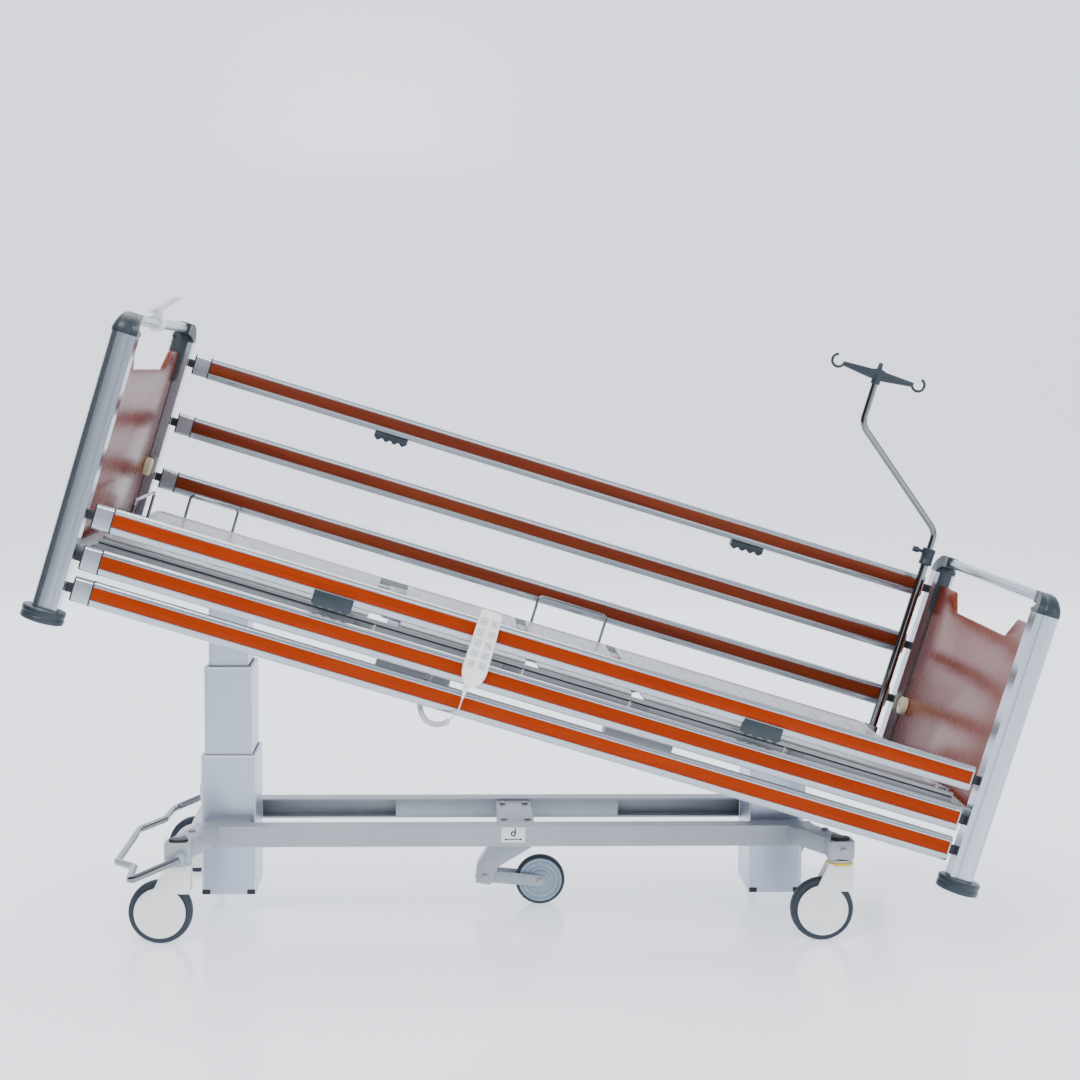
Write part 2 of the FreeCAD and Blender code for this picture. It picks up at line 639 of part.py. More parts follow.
def handset():
    """The patient's handset on the near guard, its lead and the start of its curly cord."""
    x, z = -128, 8
    y = -size("post_y") - size("rail_thick") / 2 - 5 - size("handset_thick") / 2
    case = box("handset_width", "handset_thick", "handset_length", (x, y, z))
    case = rounded(case, 10, along(Z))
    face = -size("post_y") - size("rail_thick") / 2
    node("handset", case, span((x - 12, face - 5, 30), (x + 12, face, 62)))
    bottom = z - size("handset_length") / 2
    relief = doc.addObject("Part::Cone", "Relief")
    relief.Radius1, relief.Radius2, relief.Height = 3.2, 7, 28
    relief.Placement.Base = Vector(x - 8, y, bottom - 28)
    node("handset_relief", relief)
    lead = [(x - 8, y, bottom - 28), (x - 8, y, bottom - 48), (x - 11, y + 1, bottom - 64),
            (x - 18, y + 2, bottom - 78)]
    node("handset_lead", wire(lead, "lead_radius"))
    droop = [(x - 22, y + 3.5, bottom - 85), (x - 32, y + 7, bottom - 99), (x - 54, y + 19, bottom - 108),
             (x - 78, y + 38, bottom - 104), (x - 94, y + 62, bottom - 84), (x - 98, y + 80, bottom - 52),
             (x - 94, y + 92, bottom - 26), (x - 86, y + 99, bottom - 10), (x - 86, y + 99, bottom + 5.5)]
    node("handset_coil", wire(droop, "coil_radius"))
    plug_z = bottom + 6
    node("handset_socket", span((x - 104, y + 92, plug_z), (x - 68, y + 106, plug_z + 60)))


# ---------------------------------------------------------------- build and write

def build():
    base_frame()
    arm_caps()
    casters()
    fifth_wheel()
    brake_bar()
    columns()
    frame_tubes(*pivot_brackets())
    side_profiles()
    platform()
    retainers()
    drive_units()
    boards()
    bumpers()
    drip_pole()
    foot_controls()
    guards()
    handset()
    doc.recompute()


def write():
    """Check every object and every sub-part, then write one STEP file a sub-part."""
    for item in doc.Objects:
        if "Invalid" in item.State or "Error" in item.State:
            raise RuntimeError(f"{item.Name} is {item.State}")
    for item in nodes:
        if item.Shape.isNull() or not item.Shape.isValid() or not item.Shape.Solids:
            raise RuntimeError(f"{item.Label} has no valid shape")
    os.makedirs("parts", exist_ok=True)
    for item in nodes:
        item.Shape.exportStep(f"parts/{item.Label}.step")
    whole = Part.makeCompound([item.Shape for item in nodes]).BoundBox
    print(f"{len(nodes)} sub-parts; X {whole.XMin:.1f} to {whole.XMax:.1f}, "
          f"Y {whole.YMin:.1f} to {whole.YMax:.1f}, Z {whole.ZMin:.1f} to {whole.ZMax:.1f}")


build()
write()
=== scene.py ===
# %% [markdown]
# # An adjustable hospital bed
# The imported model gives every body, joint and size. This script dresses it: it reads the tilt and the
# places from the frame, builds the visible shell of each part with bevels and real joints between
# materials, and lets each piece ride on the body that carries it.

# %% Load the frame
import json
import math
import bmesh
import bpy
from mathutils import Matrix, Vector


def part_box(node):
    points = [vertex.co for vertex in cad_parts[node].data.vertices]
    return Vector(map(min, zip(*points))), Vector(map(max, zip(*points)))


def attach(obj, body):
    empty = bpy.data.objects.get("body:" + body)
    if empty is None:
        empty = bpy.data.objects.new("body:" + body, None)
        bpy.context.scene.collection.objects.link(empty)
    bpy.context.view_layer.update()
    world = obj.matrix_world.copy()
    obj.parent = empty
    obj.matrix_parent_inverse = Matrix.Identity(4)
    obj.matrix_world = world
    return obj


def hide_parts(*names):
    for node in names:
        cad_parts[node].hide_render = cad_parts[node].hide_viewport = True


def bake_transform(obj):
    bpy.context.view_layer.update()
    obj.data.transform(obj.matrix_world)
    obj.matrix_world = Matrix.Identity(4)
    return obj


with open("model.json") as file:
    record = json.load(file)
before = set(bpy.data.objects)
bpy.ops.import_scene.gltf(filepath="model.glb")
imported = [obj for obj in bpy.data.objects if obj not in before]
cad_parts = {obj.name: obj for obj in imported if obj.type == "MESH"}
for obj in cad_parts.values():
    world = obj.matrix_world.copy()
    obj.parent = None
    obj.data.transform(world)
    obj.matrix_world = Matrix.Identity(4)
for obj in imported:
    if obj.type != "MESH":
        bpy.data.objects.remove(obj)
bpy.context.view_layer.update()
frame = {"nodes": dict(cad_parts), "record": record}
record = frame["record"]
joints = {joint["name"]: joint for joint in record["behaviour"]["joints"]}
mounts = {mount["name"]: mount for mount in record["mounts"]}

# %% [markdown]
# The bed frame leans on its columns, so it is easiest to model it level and lean it afterwards. The
# guards' slide axis is the bed's own "up", and the mattress rest lies on the platform's top.

# %% Two places to build in: the base's and the bed's
UP = Vector(joints["near_guard_lift"]["axis"]).normalized()
ACROSS, VERTICAL = Vector((0, 1, 0)), Vector((0, 0, 1))
ALONG = ACROSS.cross(UP)
LEAN = math.atan2(UP.x, UP.z)
SEAT_MIDDLE = 0.1275
origin = Vector(mounts["mattress_rest"]["pos_m"]) - ALONG * SEAT_MIDDLE
BED = Matrix.Translation(origin) @ Matrix((ALONG, ACROSS, UP)).transposed().to_4x4()
HEAD_COLUMN_X, FOOT_COLUMN_X = 0.666, -0.691
low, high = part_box("head_column_outer")
BASE = Matrix.Translation(((low[0] + high[0]) / 2 - HEAD_COLUMN_X, 0, 0))
NEAR, FAR, FOOT, HEAD = -1, 1, -1, 1
CORNERS = [(end, across) for end in (FOOT, HEAD) for across in (NEAR, FAR)]
END_NAMES, SIDE_NAMES = {FOOT: "foot", HEAD: "head"}, {NEAR: "near", FAR: "far"}


def span(across, one, other):
    """Two places on one side of the middle, the lower first."""
    return sorted((across * one, across * other))


print(f"The bed leans {math.degrees(LEAN):.1f} degrees")

# %% [markdown]
# The camera stands about five metres in front, a little above the guards, and looks slightly down
# and towards the head end.

# %% Camera
camera = bpy.data.objects.new("camera", bpy.data.cameras.new("camera"))
bpy.context.collection.objects.link(camera)
camera.data.lens = 65.55
camera.location = BASE @ Vector((-0.1415, -4.8845, 1.3395))
turns = [Matrix.Rotation(math.radians(angle), 3, axis)
         for angle, axis in ((-2.547, "Z"), (85.132, "X"), (0.43, "Z"))]
camera.rotation_euler = (turns[0] @ turns[1] @ turns[2]).to_euler()
bpy.context.scene.camera = camera

# %% [markdown]
# ## Mesh tools
# Four small makers cover most of the bed: a bevelled block, a prism pushed out from an outline, a
# turned shape and a bent wire. Each returns plain mesh data, so several can share one object.

# %% Blocks and prisms
def bridge(work, rings, closed=False):
    """Faces between each ring of vertices and the next, and from the last to the first if closed."""
    for one, two in zip(rings, rings[1:] + (rings[:1] if closed else [])):
        for i in range(len(one)):
            k = (i + 1) % len(one)
            work.faces.new((one[i], one[k], two[k], two[i]))
    if not closed:
        work.faces.new(rings[0])
        work.faces.new(rings[-1])


def to_mesh(work):
    """Close a bmesh into mesh data with its faces outwards."""
    bmesh.ops.recalc_face_normals(work, faces=work.faces)
    mesh = bpy.data.meshes.new("part")
    work.to_mesh(mesh)
    work.free()
    return mesh


def soften(work, width, rounds, wanted=lambda edge: True):
    """Bevel the wanted edges, as a mould or an extrusion rounds them."""
    if width > 0:
        edges = [edge for edge in work.edges if wanted(edge)]
        bmesh.ops.bevel(work, geom=edges, offset=width, segments=rounds, profile=0.5,
                        affect="EDGES", clamp_overlap=True)


def block(low, high, width=0.002, rounds=3, wanted=lambda edge: True):
    """A bevelled block between two corners."""
    work = bmesh.new()
    bmesh.ops.create_cube(work, size=1)
    low, high = Vector(low), Vector(high)
    for vertex in work.verts:
        vertex.co = Vector((low[i] + (vertex.co[i] + 0.5) * (high[i] - low[i]) for i in range(3)))
    soften(work, width, rounds, wanted)
    return to_mesh(work)


def prism(outline, start, end, axis="x", width=0.0006, rounds=1):
    """A closed outline pushed from start to end along x, y or z."""
    order = {"x": lambda u, v, d: (d, u, v), "y": lambda u, v, d: (u, d, v),
             "z": lambda u, v, d: (u, v, d)}[axis]
    work = bmesh.new()
    face = work.faces.new([work.verts.new(order(u, v, start)) for u, v in outline])
    pushed = bmesh.ops.extrude_face_region(work, geom=[face])
    move = Vector(order(0, 0, end - start))
    bmesh.ops.translate(work, verts=[v for v in pushed["geom"] if isinstance(v, bmesh.types.BMVert)], vec=move)
    rims = lambda edge: len({round(f.normal.dot(move.normalized()), 2) for f in edge.link_faces}) > 1
    work.normal_update()
    soften(work, width, rounds, rims)
    return to_mesh(work)


# %% Turned shapes and bent wires
def lathe(profile, centre, axis=ACROSS, steps=64, closed=False):
    """Turn (radius, distance along the axis) points round the axis; a ring closes on itself."""
    work = bmesh.new()
    turn = VERTICAL.rotation_difference(axis).to_matrix()
    rings = []
    for radius, along in profile:
        ring = []
        for i in range(steps):
            angle = 2 * math.pi * i / steps
            spot = Vector((radius * math.cos(angle), radius * math.sin(angle), along))
            ring.append(work.verts.new(Vector(centre) + turn @ spot))
        rings.append(ring)
    bridge(work, rings, closed)
    return to_mesh(work)


def turned_ring(outer, inner, thick, centre, axis=ACROSS, edge=0.001):
    """A ring of rectangular section with broken edges."""
    half = thick / 2
    section = [(inner, -half), (outer - edge, -half), (outer, edge - half), (outer, half - edge),
               (outer - edge, half), (inner, half)]
    work = bmesh.new()
    turn = VERTICAL.rotation_difference(axis).to_matrix()
    steps, rings = 64, []
    for i in range(steps):
        angle = 2 * math.pi * i / steps
        rings.append([work.verts.new(Vector(centre) + turn @ Vector((r * math.cos(angle), r * math.sin(angle), d)))
                      for r, d in section])
    bridge(work, rings, closed=True)
    return to_mesh(work)


def rounded_route(points, bend, steps=8):
    """The points of straight runs joined by arcs."""
    points = [Vector(p) for p in points]
    route = [points[0]]
    for before, corner, after in zip(points, points[1:], points[2:]):
        back, on = before - corner, after - corner
        turn = math.pi - back.angle(on)
        reach = min(bend * math.tan(turn / 2), 0.45 * min(back.length, on.length))
        radius = reach / math.tan(turn / 2)
        back.normalize(), on.normalize()
        centre = corner + (back + on).normalized() * (radius / math.cos(turn / 2))
        arm = corner + back * reach - centre
        normal = arm.cross(corner + on * reach - centre).normalized()
        for i in range(steps + 1):
            route.append(centre + Matrix.Rotation(turn * i / steps, 3, normal) @ arm)
    return route + [points[-1]]


def line_object(points, kind="POLY"):
    """A curve object through the points, or one pulled smoothly by them."""
    curve = bpy.data.curves.new("route", "CURVE")
    curve.dimensions = "3D"
    spline = curve.splines.new(kind)
    spline.points.add(len(points) - 1)
    for spot, point in zip(spline.points, points):
        spot.co = (*point, 1)
    if kind == "NURBS":
        spline.order_u = 3
        spline.use_endpoint_u = True
        spline.resolution_u = 24
    made = bpy.data.objects.new("route", curve)
    bpy.context.collection.objects.link(made)
    return made


def tube(points, radius, sides=4):
    """A round bar along points that are close enough together."""
    made = line_object(points)
    made.data.bevel_depth = radius
    made.data.bevel_resolution = sides
    made.data.use_fill_caps = True
    bpy.context.view_layer.update()
    mesh = bpy.data.meshes.new_from_object(made.evaluated_get(bpy.context.evaluated_depsgraph_get()))
    bpy.data.objects.remove(made)
    return mesh


def wire(points, radius, bend):
    """A bar bent round corners."""
    return tube(rounded_route(points, bend), radius)


# %% [markdown]
# One function turns mesh data into a finished piece: it joins the parts, puts them in place, shades
# them smooth up to a clear edge, and tells the frame which body carries them.

# %% Finish a piece
def piece(name, meshes, material, body, stands_for=(), place=BED, ride=True, crease=32):
    """Join the meshes into one object in the row's frame."""
    work = bmesh.new()
    for mesh in meshes:
        work.from_mesh(mesh)
    bmesh.ops.transform(work, matrix=place, verts=work.verts)
    mesh = bpy.data.meshes.new(name)
    work.to_mesh(mesh)
    work.free()
    mesh.materials.append(material)
    mesh.shade_smooth()
    mesh.set_sharp_from_angle(angle=math.radians(crease))
    made = bpy.data.objects.new(name, mesh)
    bpy.context.collection.objects.link(made)
    if ride:
        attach(made, body)
    if stands_for:
        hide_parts(*stands_for)
    return made


# %% [markdown]
# ## Materials
# Colours are given as sRGB hex values. Patterns read Object coordinates in metres, so a scale of
# 1000 is one cycle a millimetre. Grain along the bed is turned by the bed's lean first.

# %% Colour and node tools
def linear(code, alpha=1.0):
    """A hex colour as linear RGBA."""
    parts = [int(code[i:i + 2], 16) / 255 for i in (1, 3, 5)]
    return (*[p / 12.92 if p <= 0.04045 else ((p + 0.055) / 1.055) ** 2.4 for p in parts], alpha)


def add(tree, kind, inputs=None, **settings):
    """Add a node with its settings; inputs are values or other nodes' outputs."""
    made = tree.nodes.new(kind)
    for name, value in settings.items():
        setattr(made, name, value)
    for name, value in (inputs or {}).items():
        if isinstance(value, bpy.types.NodeSocket):
            tree.links.new(value, made.inputs[name])
        else:
            made.inputs[name].default_value = value
    return made


def new_finish(name, colour, roughness, metallic=0.0, **more):
    """A material with one Principled shader, and its tree."""
    material = bpy.data.materials.new(name)
    material.use_nodes = True
    material.diffuse_color = linear(colour)
    tree = material.node_tree
    shader = tree.nodes["Principled BSDF"]
    values = {"Base Color": linear(colour), "Roughness": roughness, "Metallic": metallic, **more}
    for socket, value in values.items():
        shader.inputs[socket].default_value = value
    return material, tree, shader


def spots(tree, scale, stretch=(1, 1, 1), lean=0.0, detail=3.0, roughness=0.55):
    """Noise in object space, stretched along the bed's own axes."""
    place = add(tree, "ShaderNodeTexCoord")
    turned = add(tree, "ShaderNodeMapping", {"Vector": place.outputs["Object"], "Rotation": (0, -lean, 0)})
    mapped = add(tree, "ShaderNodeMapping", {"Vector": turned.outputs["Vector"], "Scale": stretch})
    return add(tree, "ShaderNodeTexNoise", {"Vector": mapped.outputs["Vector"], "Scale": scale,
               "Detail": detail, "Roughness": roughness}).outputs["Fac"]


def remap(tree, value, low, high):
    """Spread a 0 to 1 pattern over a range."""
    return add(tree, "ShaderNodeMapRange", {"Value": value, "From Min": 0.3, "From Max": 0.7,
               "To Min": low, "To Max": high}).outputs["Result"]


def blend_colours(tree, value, *codes):
    """A colour ramp through the codes."""
    ramp = add(tree, "ShaderNodeValToRGB", {"Fac": value})
    stops = ramp.color_ramp.elements
    while len(stops) < len(codes):
        stops.new(0.5)
    for i, code in enumerate(codes):
        stops[i].position = 0.3 + 0.4 * i / (len(codes) - 1)
        stops[i].color = linear(code)
    return ramp.outputs["Color"]


def bump(tree, shader, height, strength, distance):
    """Raise the surface by a pattern, in metres."""
    made = add(tree, "ShaderNodeBump", {"Height": height, "Strength": strength, "Distance": distance})
    tree.links.new(made.outputs["Normal"], shader.inputs["Normal"])


# %% Metals
def brushed(name, colour, shade, roughness, stretch, lean=LEAN):
    """Extruded and anodised aluminium: fine streaks along the die's direction."""
    material, tree, shader = new_finish(name, colour, roughness, 0.92)
    streaks = spots(tree, 420, stretch, lean, 2)
    tree.links.new(remap(tree, streaks, roughness - 0.03, roughness + 0.03), shader.inputs["Roughness"])
    tree.links.new(blend_colours(tree, streaks, shade, colour), shader.inputs["Base Color"])
    bump(tree, shader, streaks, 0.03, 0.00005)
    return material


rail_aluminium = brushed("satin_anodised_rail", "#B4BAC2", "#ACB3BC", 0.24, (0.02, 1, 1))
post_aluminium = brushed("satin_anodised_post", "#B7BFC9", "#B1B9C4", 0.17, (1, 1, 0.02))
column_aluminium = brushed("brushed_column", "#BCC4D4", "#B5BECE", 0.34, (1, 1, 0.02), 0.0)


def powder_coat(name, colour, shade, roughness, metallic):
    """Baked powder coat: a very fine orange peel and slight mottling."""
    material, tree, shader = new_finish(name, colour, roughness, metallic,
                                        **{"Coat Weight": 0.15, "Coat Roughness": 0.25})
    grains = spots(tree, 900, detail=4)
    tree.links.new(blend_colours(tree, spots(tree, 9), shade, colour), shader.inputs["Base Color"])
    tree.links.new(remap(tree, grains, roughness - 0.04, roughness + 0.05), shader.inputs["Roughness"])
    bump(tree, shader, grains, 0.18, 0.00008)
    return material


silver_coat = powder_coat("silver_powder_coat", "#AEB3BA", "#A7ACB4", 0.42, 0.3)
pale_coat = powder_coat("pale_powder_coat", "#D4D6D8", "#CBCDD0", 0.38, 0.25)
panel_coat = powder_coat("platform_grey_coat", "#BDBEBF", "#B4B6B8", 0.36, 0.35)


def polished(name, colour, roughness):
    """Plated steel: nearly a mirror, with faint wiping marks."""
    material, tree, shader = new_finish(name, colour, roughness, 1.0)
    wiped = spots(tree, 60, detail=5)
    tree.links.new(remap(tree, wiped, roughness * 0.6, roughness * 1.7), shader.inputs["Roughness"])
    return material


chrome = polished("chrome_plate", "#85898E", 0.06)
zinc = polished("zinc_plate", "#A9ABAE", 0.34)


# %% Woods, plastics and rubber
def laminate(name, dark, middle, light, stretch, roughness, gloss):
    """Printed wood grain under a clear melamine layer: long streaks and fine pores."""
    material, tree, shader = new_finish(name, middle, roughness, 0.0, **{"Specular IOR Level": gloss})
    broad = spots(tree, 26, stretch, LEAN, 4)
    fine = spots(tree, 120, stretch, LEAN, 2)
    mixed = add(tree, "ShaderNodeMix", {"Factor": 0.35, "A": broad, "B": fine}).outputs["Result"]
    tree.links.new(blend_colours(tree, mixed, dark, middle, light), shader.inputs["Base Color"])
    tree.links.new(remap(tree, fine, roughness - 0.01, roughness + 0.02), shader.inputs["Roughness"])
    bump(tree, shader, fine, 0.01, 0.00006)
    return material


strip_wood = laminate("cherry_strip_laminate", "#842400", "#942C00", "#9E3302", (0.05, 1, 1), 0.42, 0.12)
# The far rails' strips use the same laminate made darker: painted shade, not a different wood.
far_strip_painted_shade = laminate("dark_strip_laminate", "#5A1C06", "#6C260A", "#78300E", (0.05, 1, 1), 0.4, 0.2)
board_wood = laminate("cherry_board_laminate", "#6A240F", "#722A14", "#7A3018", (1, 0.5, 0.05), 0.26, 0.35)


def moulded(name, colour, shade, roughness, grain=1400, depth=0.00004):
    """Injection-moulded plastic: spark-eroded grain and a slight mottle."""
    material, tree, shader = new_finish(name, colour, roughness, 0.0, IOR=1.49)
    grains = spots(tree, grain, detail=2)
    tree.links.new(blend_colours(tree, spots(tree, 30), shade, colour), shader.inputs["Base Color"])
    tree.links.new(remap(tree, grains, roughness - 0.05, roughness + 0.05), shader.inputs["Roughness"])
    bump(tree, shader, grains, 0.2, depth)
    return material


corner_plastic = moulded("blue_grey_nylon", "#27333D", "#222D36", 0.36)
black_plastic = moulded("black_nylon", "#1C1F23", "#16181B", 0.45)
white_plastic = moulded("white_abs", "#FAFAF8", "#F4F4F2", 0.28, depth=0.00001)
cream_plastic = moulded("cream_nylon", "#D9CFAE", "#CBBF98", 0.4)
grey_plastic = moulded("grey_abs", "#7E8185", "#76797D", 0.45)
yellow_plastic = moulded("yellow_ring_plastic", "#E3C72B", "#D6B91F", 0.35)
cord_plastic = moulded("pale_pvc_sleeve", "#D8D9D9", "#CFD0D0", 0.45)
print_grey = moulded("grey_key_print", "#7C858E", "#737C85", 0.5)
tyre_rubber = moulded("blue_grey_rubber", "#2C3743", "#26303B", 0.6, 500, 0.0001)
hub_plastic = moulded("pale_blue_hub_plastic", "#A9B2BA", "#9EA8B1", 0.4)
blue_disc = moulded("light_blue_disc_plastic", "#9DB0BE", "#91A5B4", 0.35)
pale_ring = moulded("pale_ring_plastic", "#CDD3DA", "#C4CBD3", 0.35)
cover_grey = powder_coat("side_cover_grey", "#A2A5A9", "#989BA0", 0.36, 0.5)
bright_trim = powder_coat("bright_trim", "#E6EAEF", "#DDE2E8", 0.28, 0.3)

# %% [markdown]
# ## The handset's curly cord
# The lead leaves the strain relief straight, then turns into a tight helix that droops under the
# lowest rail and climbs behind it to its socket. The route is a smooth spline through listed
# points; the helix winds round that line. The cord is one fixed mesh that rides on no body.

# %% Cord
HANDSET_X, HANDSET_Z, HANDSET_LENGTH = -0.128, 0.008, 0.178
HANDSET_Y = -0.501
CORD_RADIUS, COIL_RADIUS, PITCH = 0.0017, 0.0052, 0.0046
bottom = HANDSET_Z - HANDSET_LENGTH / 2
lead_points = [(-0.136, -0.501, bottom - 0.028), (-0.136, -0.501, bottom - 0.048),
               (-0.139, -0.5, bottom - 0.064), (-0.146, -0.499, bottom - 0.078)]
droop_points = [(-0.15, -0.4975, bottom - 0.085), (-0.16, -0.494, bottom - 0.099),
                (-0.182, -0.482, bottom - 0.108), (-0.206, -0.463, bottom - 0.104),
                (-0.222, -0.439, bottom - 0.084), (-0.226, -0.421, bottom - 0.052),
                (-0.222, -0.409, bottom - 0.026), (-0.214, -0.402, bottom - 0.01),
                (-0.214, -0.402, bottom + 0.0055)]


def smooth_line(points):
    """Points along the spline that the given points pull."""
    made = line_object([BED @ Vector(p) for p in points], "NURBS")
    bpy.context.view_layer.update()
    mesh = bpy.data.meshes.new_from_object(made.evaluated_get(bpy.context.evaluated_depsgraph_get()))
    line = [v.co.copy() for v in mesh.vertices]
    bpy.data.objects.remove(made)
    return line


def smoothstep(value):
    """Nothing below 0, one above 1 and no corner between."""
    value = min(max(value, 0.0), 1.0)
    return value * value * (3 - 2 * value)


def curled(line, start, radius, pitch, step=0.0003):
    """Follow the line, and wind round it from the start length on. The curl opens in one loose turn,
    because a cord this thick can't bend more sharply, and closes the same way at the end."""
    lengths = [0.0]
    for a, b in zip(line, line[1:]):
        lengths.append(lengths[-1] + (b - a).length)
    total, wound, index, side, phase = lengths[-1], [], 0, None, 0.0
    loose, tight = 2 * math.pi / 0.015, 2 * math.pi / pitch
    for i in range(int(total / step) + 1):
        at = total * i / int(total / step)
        while index < len(line) - 2 and lengths[index + 1] < at:
            index += 1
        run = line[index + 1] - line[index]
        way = run.normalized()
        side = way.orthogonal() if side is None else side - way * side.dot(way)
        side.normalize()
        open_up = min(smoothstep((at - start) / 0.012), smoothstep((total - at) / 0.012))
        phase += step * (loose + (tight - loose) * smoothstep((open_up - 0.8) / 0.2))
        arm = Matrix.Rotation(phase, 3, way) @ side
        if open_up > 0 or i % 6 == 0:
            wound.append(line[index] + run * ((at - lengths[index]) / run.length) + arm * radius * open_up)
    return wound


lead_line = smooth_line(lead_points)
lead_length = sum((b - a).length for a, b in zip(lead_line, lead_line[1:]))
cord_route = curled(smooth_line(lead_points + droop_points), lead_length, COIL_RADIUS, PITCH)
cord = piece("handset_cord", [tube(cord_route, CORD_RADIUS, 2)], cord_plastic, "bed_frame",
             ("handset_lead", "handset_coil"), place=Matrix(), ride=False)
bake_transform(cord)

# %% [markdown]
# ## Floor and light
# A pale sweep with a soft gloss stands in for a studio floor. Three large lights leave soft edges, and
# a dark wall on the foot side gives the metal its dark lines.

# %% Studio
def sweep():
    """A floor that curves up into a wall behind the bed."""
    work = bmesh.new()
    rows = [(-9, 0)] + [(6 + 3 * math.sin(a), 3 - 3 * math.cos(a)) for a in
                        [math.pi / 2 * i / 16 for i in range(17)]] + [(9, 14)]
    pairs = [(work.verts.new((-16, y, z)), work.verts.new((16, y, z))) for y, z in rows]
    for one, two in zip(pairs, pairs[1:]):
        work.faces.new((one[0], one[1], two[1], two[0]))
    return to_mesh(work)


floor_finish, _, _ = new_finish("pale_floor", "#E6E9EE", 0.16, 0.0, **{
    "Specular IOR Level": 0.5, "Emission Color": linear("#E6EBF5"), "Emission Strength": 0.9})
floor = bpy.data.objects.new("floor", sweep())
floor.data.materials.append(floor_finish)
floor.data.shade_smooth()
bpy.context.collection.objects.link(floor)

world = bpy.data.worlds.new("studio")
bpy.context.scene.world = world
world.use_nodes = True
sky = world.node_tree
background = sky.nodes["Background"]
background.inputs["Color"].default_value = linear("#E9EDF4")
way = add(sky, "ShaderNodeSeparateXYZ", {"Vector": add(sky, "ShaderNodeTexCoord").outputs["Generated"]})
sideways = add(sky, "ShaderNodeMapRange", {"Value": way.outputs["X"], "From Min": -0.2, "From Max": -0.45})
level = add(sky, "ShaderNodeMapRange", {"Value": way.outputs["Z"], "From Min": 0.65, "From Max": 0.3})
screens = add(sky, "ShaderNodeMath", {0: sideways.outputs["Result"], 1: level.outputs["Result"]},
              operation="MULTIPLY")
strength = add(sky, "ShaderNodeMapRange", {"Value": screens.outputs["Value"], "To Min": 1.1, "To Max": 0.08})
sky.links.new(strength.outputs["Result"], background.inputs["Strength"])


def soft_light(name, place, aim, size, power):
    """A large area light aimed at a point."""
    data = bpy.data.lights.new(name, "AREA")
    data.shape, data.size, data.energy = "SQUARE", size, power
    made = bpy.data.objects.new(name, data)
    made.location = place
    made.rotation_euler = (Vector(aim) - Vector(place)).to_track_quat("-Z", "Y").to_euler()
    bpy.context.collection.objects.link(made)


soft_light("key", (-1.5, -4.0, 5.0), (0, 0, 0.6), 3.0, 210)
soft_light("fill", (4.0, -4.5, 2.5), (0, 0, 0.6), 3.0, 60)
soft_light("top", (0.0, 1.5, 5.0), (0, 0, 0.5), 4.0, 170)

# %% [markdown]
# ## Side guards
# Each rail is one aluminium extrusion: a bead on top, a channel that holds a wood-effect strip on
# both faces, and a bevelled lower edge. The extrusion's outline is drawn once and pushed along the
# bed; the strips, rings and pivots are pieces of their own, as they are on a bench.

# %% Rail outline
RAIL_END, SLEEVE, POST_INNER = 1.041, 0.044, 1.058
RAIL_Y = 0.47
RAIL_LEVELS = {("near", "top"): 0.044, ("near", "middle"): -0.053, ("near", "low"): -0.126,
               ("far", "top"): 0.4, ("far", "middle"): 0.235, ("far", "low"): 0.08}


def mirrored(half):
    """Close a half outline, given from top to bottom, with its mirror image."""
    return half + [(-u, v) for u, v in reversed(half)]


rail_half = [(0.005, 0.029), (0.0085, 0.0275), (0.0105, 0.0245), (0.0108, 0.0222), (0.0135, 0.0205),
             (0.0135, 0.0175), (0.0115, 0.017), (0.0115, -0.012), (0.0138, -0.0125), (0.014, -0.015),
             (0.0115, -0.0235), (0.0085, -0.0275), (0.005, -0.029)]


def shifted(outline, across, up, scale=1.0):
    """Move an outline to its place, scaled about its own middle."""
    return [(across + u * scale, up + v * scale) for u, v in outline]


def oval(half_width, half_height, corner, steps=6):
    """A rounded rectangle outline."""
    outline = []
    for turn, (su, sv) in enumerate(((1, 1), (-1, 1), (-1, -1), (1, -1))):
        for i in range(steps + 1):
            angle = math.pi / 2 * (turn + i / steps)
            outline.append((su * (half_width - corner) + corner * math.cos(angle),
                            sv * (half_height - corner) + corner * math.sin(angle)))
    return outline


# %% Rails, strips and end fittings
for (side, level), z in RAIL_LEVELS.items():
    y = RAIL_Y * (NEAR if side == "near" else FAR)
    body = f"{side}_{level}_rail"
    start = SLEEVE - RAIL_END
    profile = prism(shifted(mirrored(rail_half), y, z), start, RAIL_END)
    sleeve = prism(shifted(oval(0.0125, 0.0285, 0.009), y, z), 0.003 - RAIL_END, start)
    piece(f"rail_profile_{side}_{level}", [profile, sleeve], rail_aluminium, body,
          (f"{side}_rail_{level}",), crease=22)
    strips = [prism(shifted(oval(0.0012, 0.0142, 0.0009, 2), y + out * 0.0127, z + 0.0025), start + 0.001,
                    RAIL_END - 0.004, width=0.0002) for out in (-1, 1)]
    # The far rails take the darker strip laminate, which is painted shade.
    piece(f"rail_strip_{side}_{level}", strips, strip_wood if side == "near" else far_strip_painted_shade, body)
    ring = oval(0.0148, 0.0298, 0.011)
    fittings = [prism(shifted(ring, y, z), start - 0.0015, start + 0.0015, width=0.0005, rounds=2),
                prism(shifted(ring, y, z, 0.93), -RAIL_END, 0.003 - RAIL_END, width=0.0006, rounds=2)]
    for end in (FOOT, HEAD):
        x = span(end, RAIL_END - 0.001, POST_INNER - 0.001)
        fittings.append(prism(shifted(oval(0.007, 0.011, 0.005), y, z), *x, width=0.0008))
    piece(f"rail_fittings_{side}_{level}", fittings, black_plastic, body)

# %% [markdown]
# The finger grips under the top rails are moulded: a plate over the rail's lower edge, scalloped
# for the fingers. The scallops follow a rule, so the outline is worked out from a cosine.

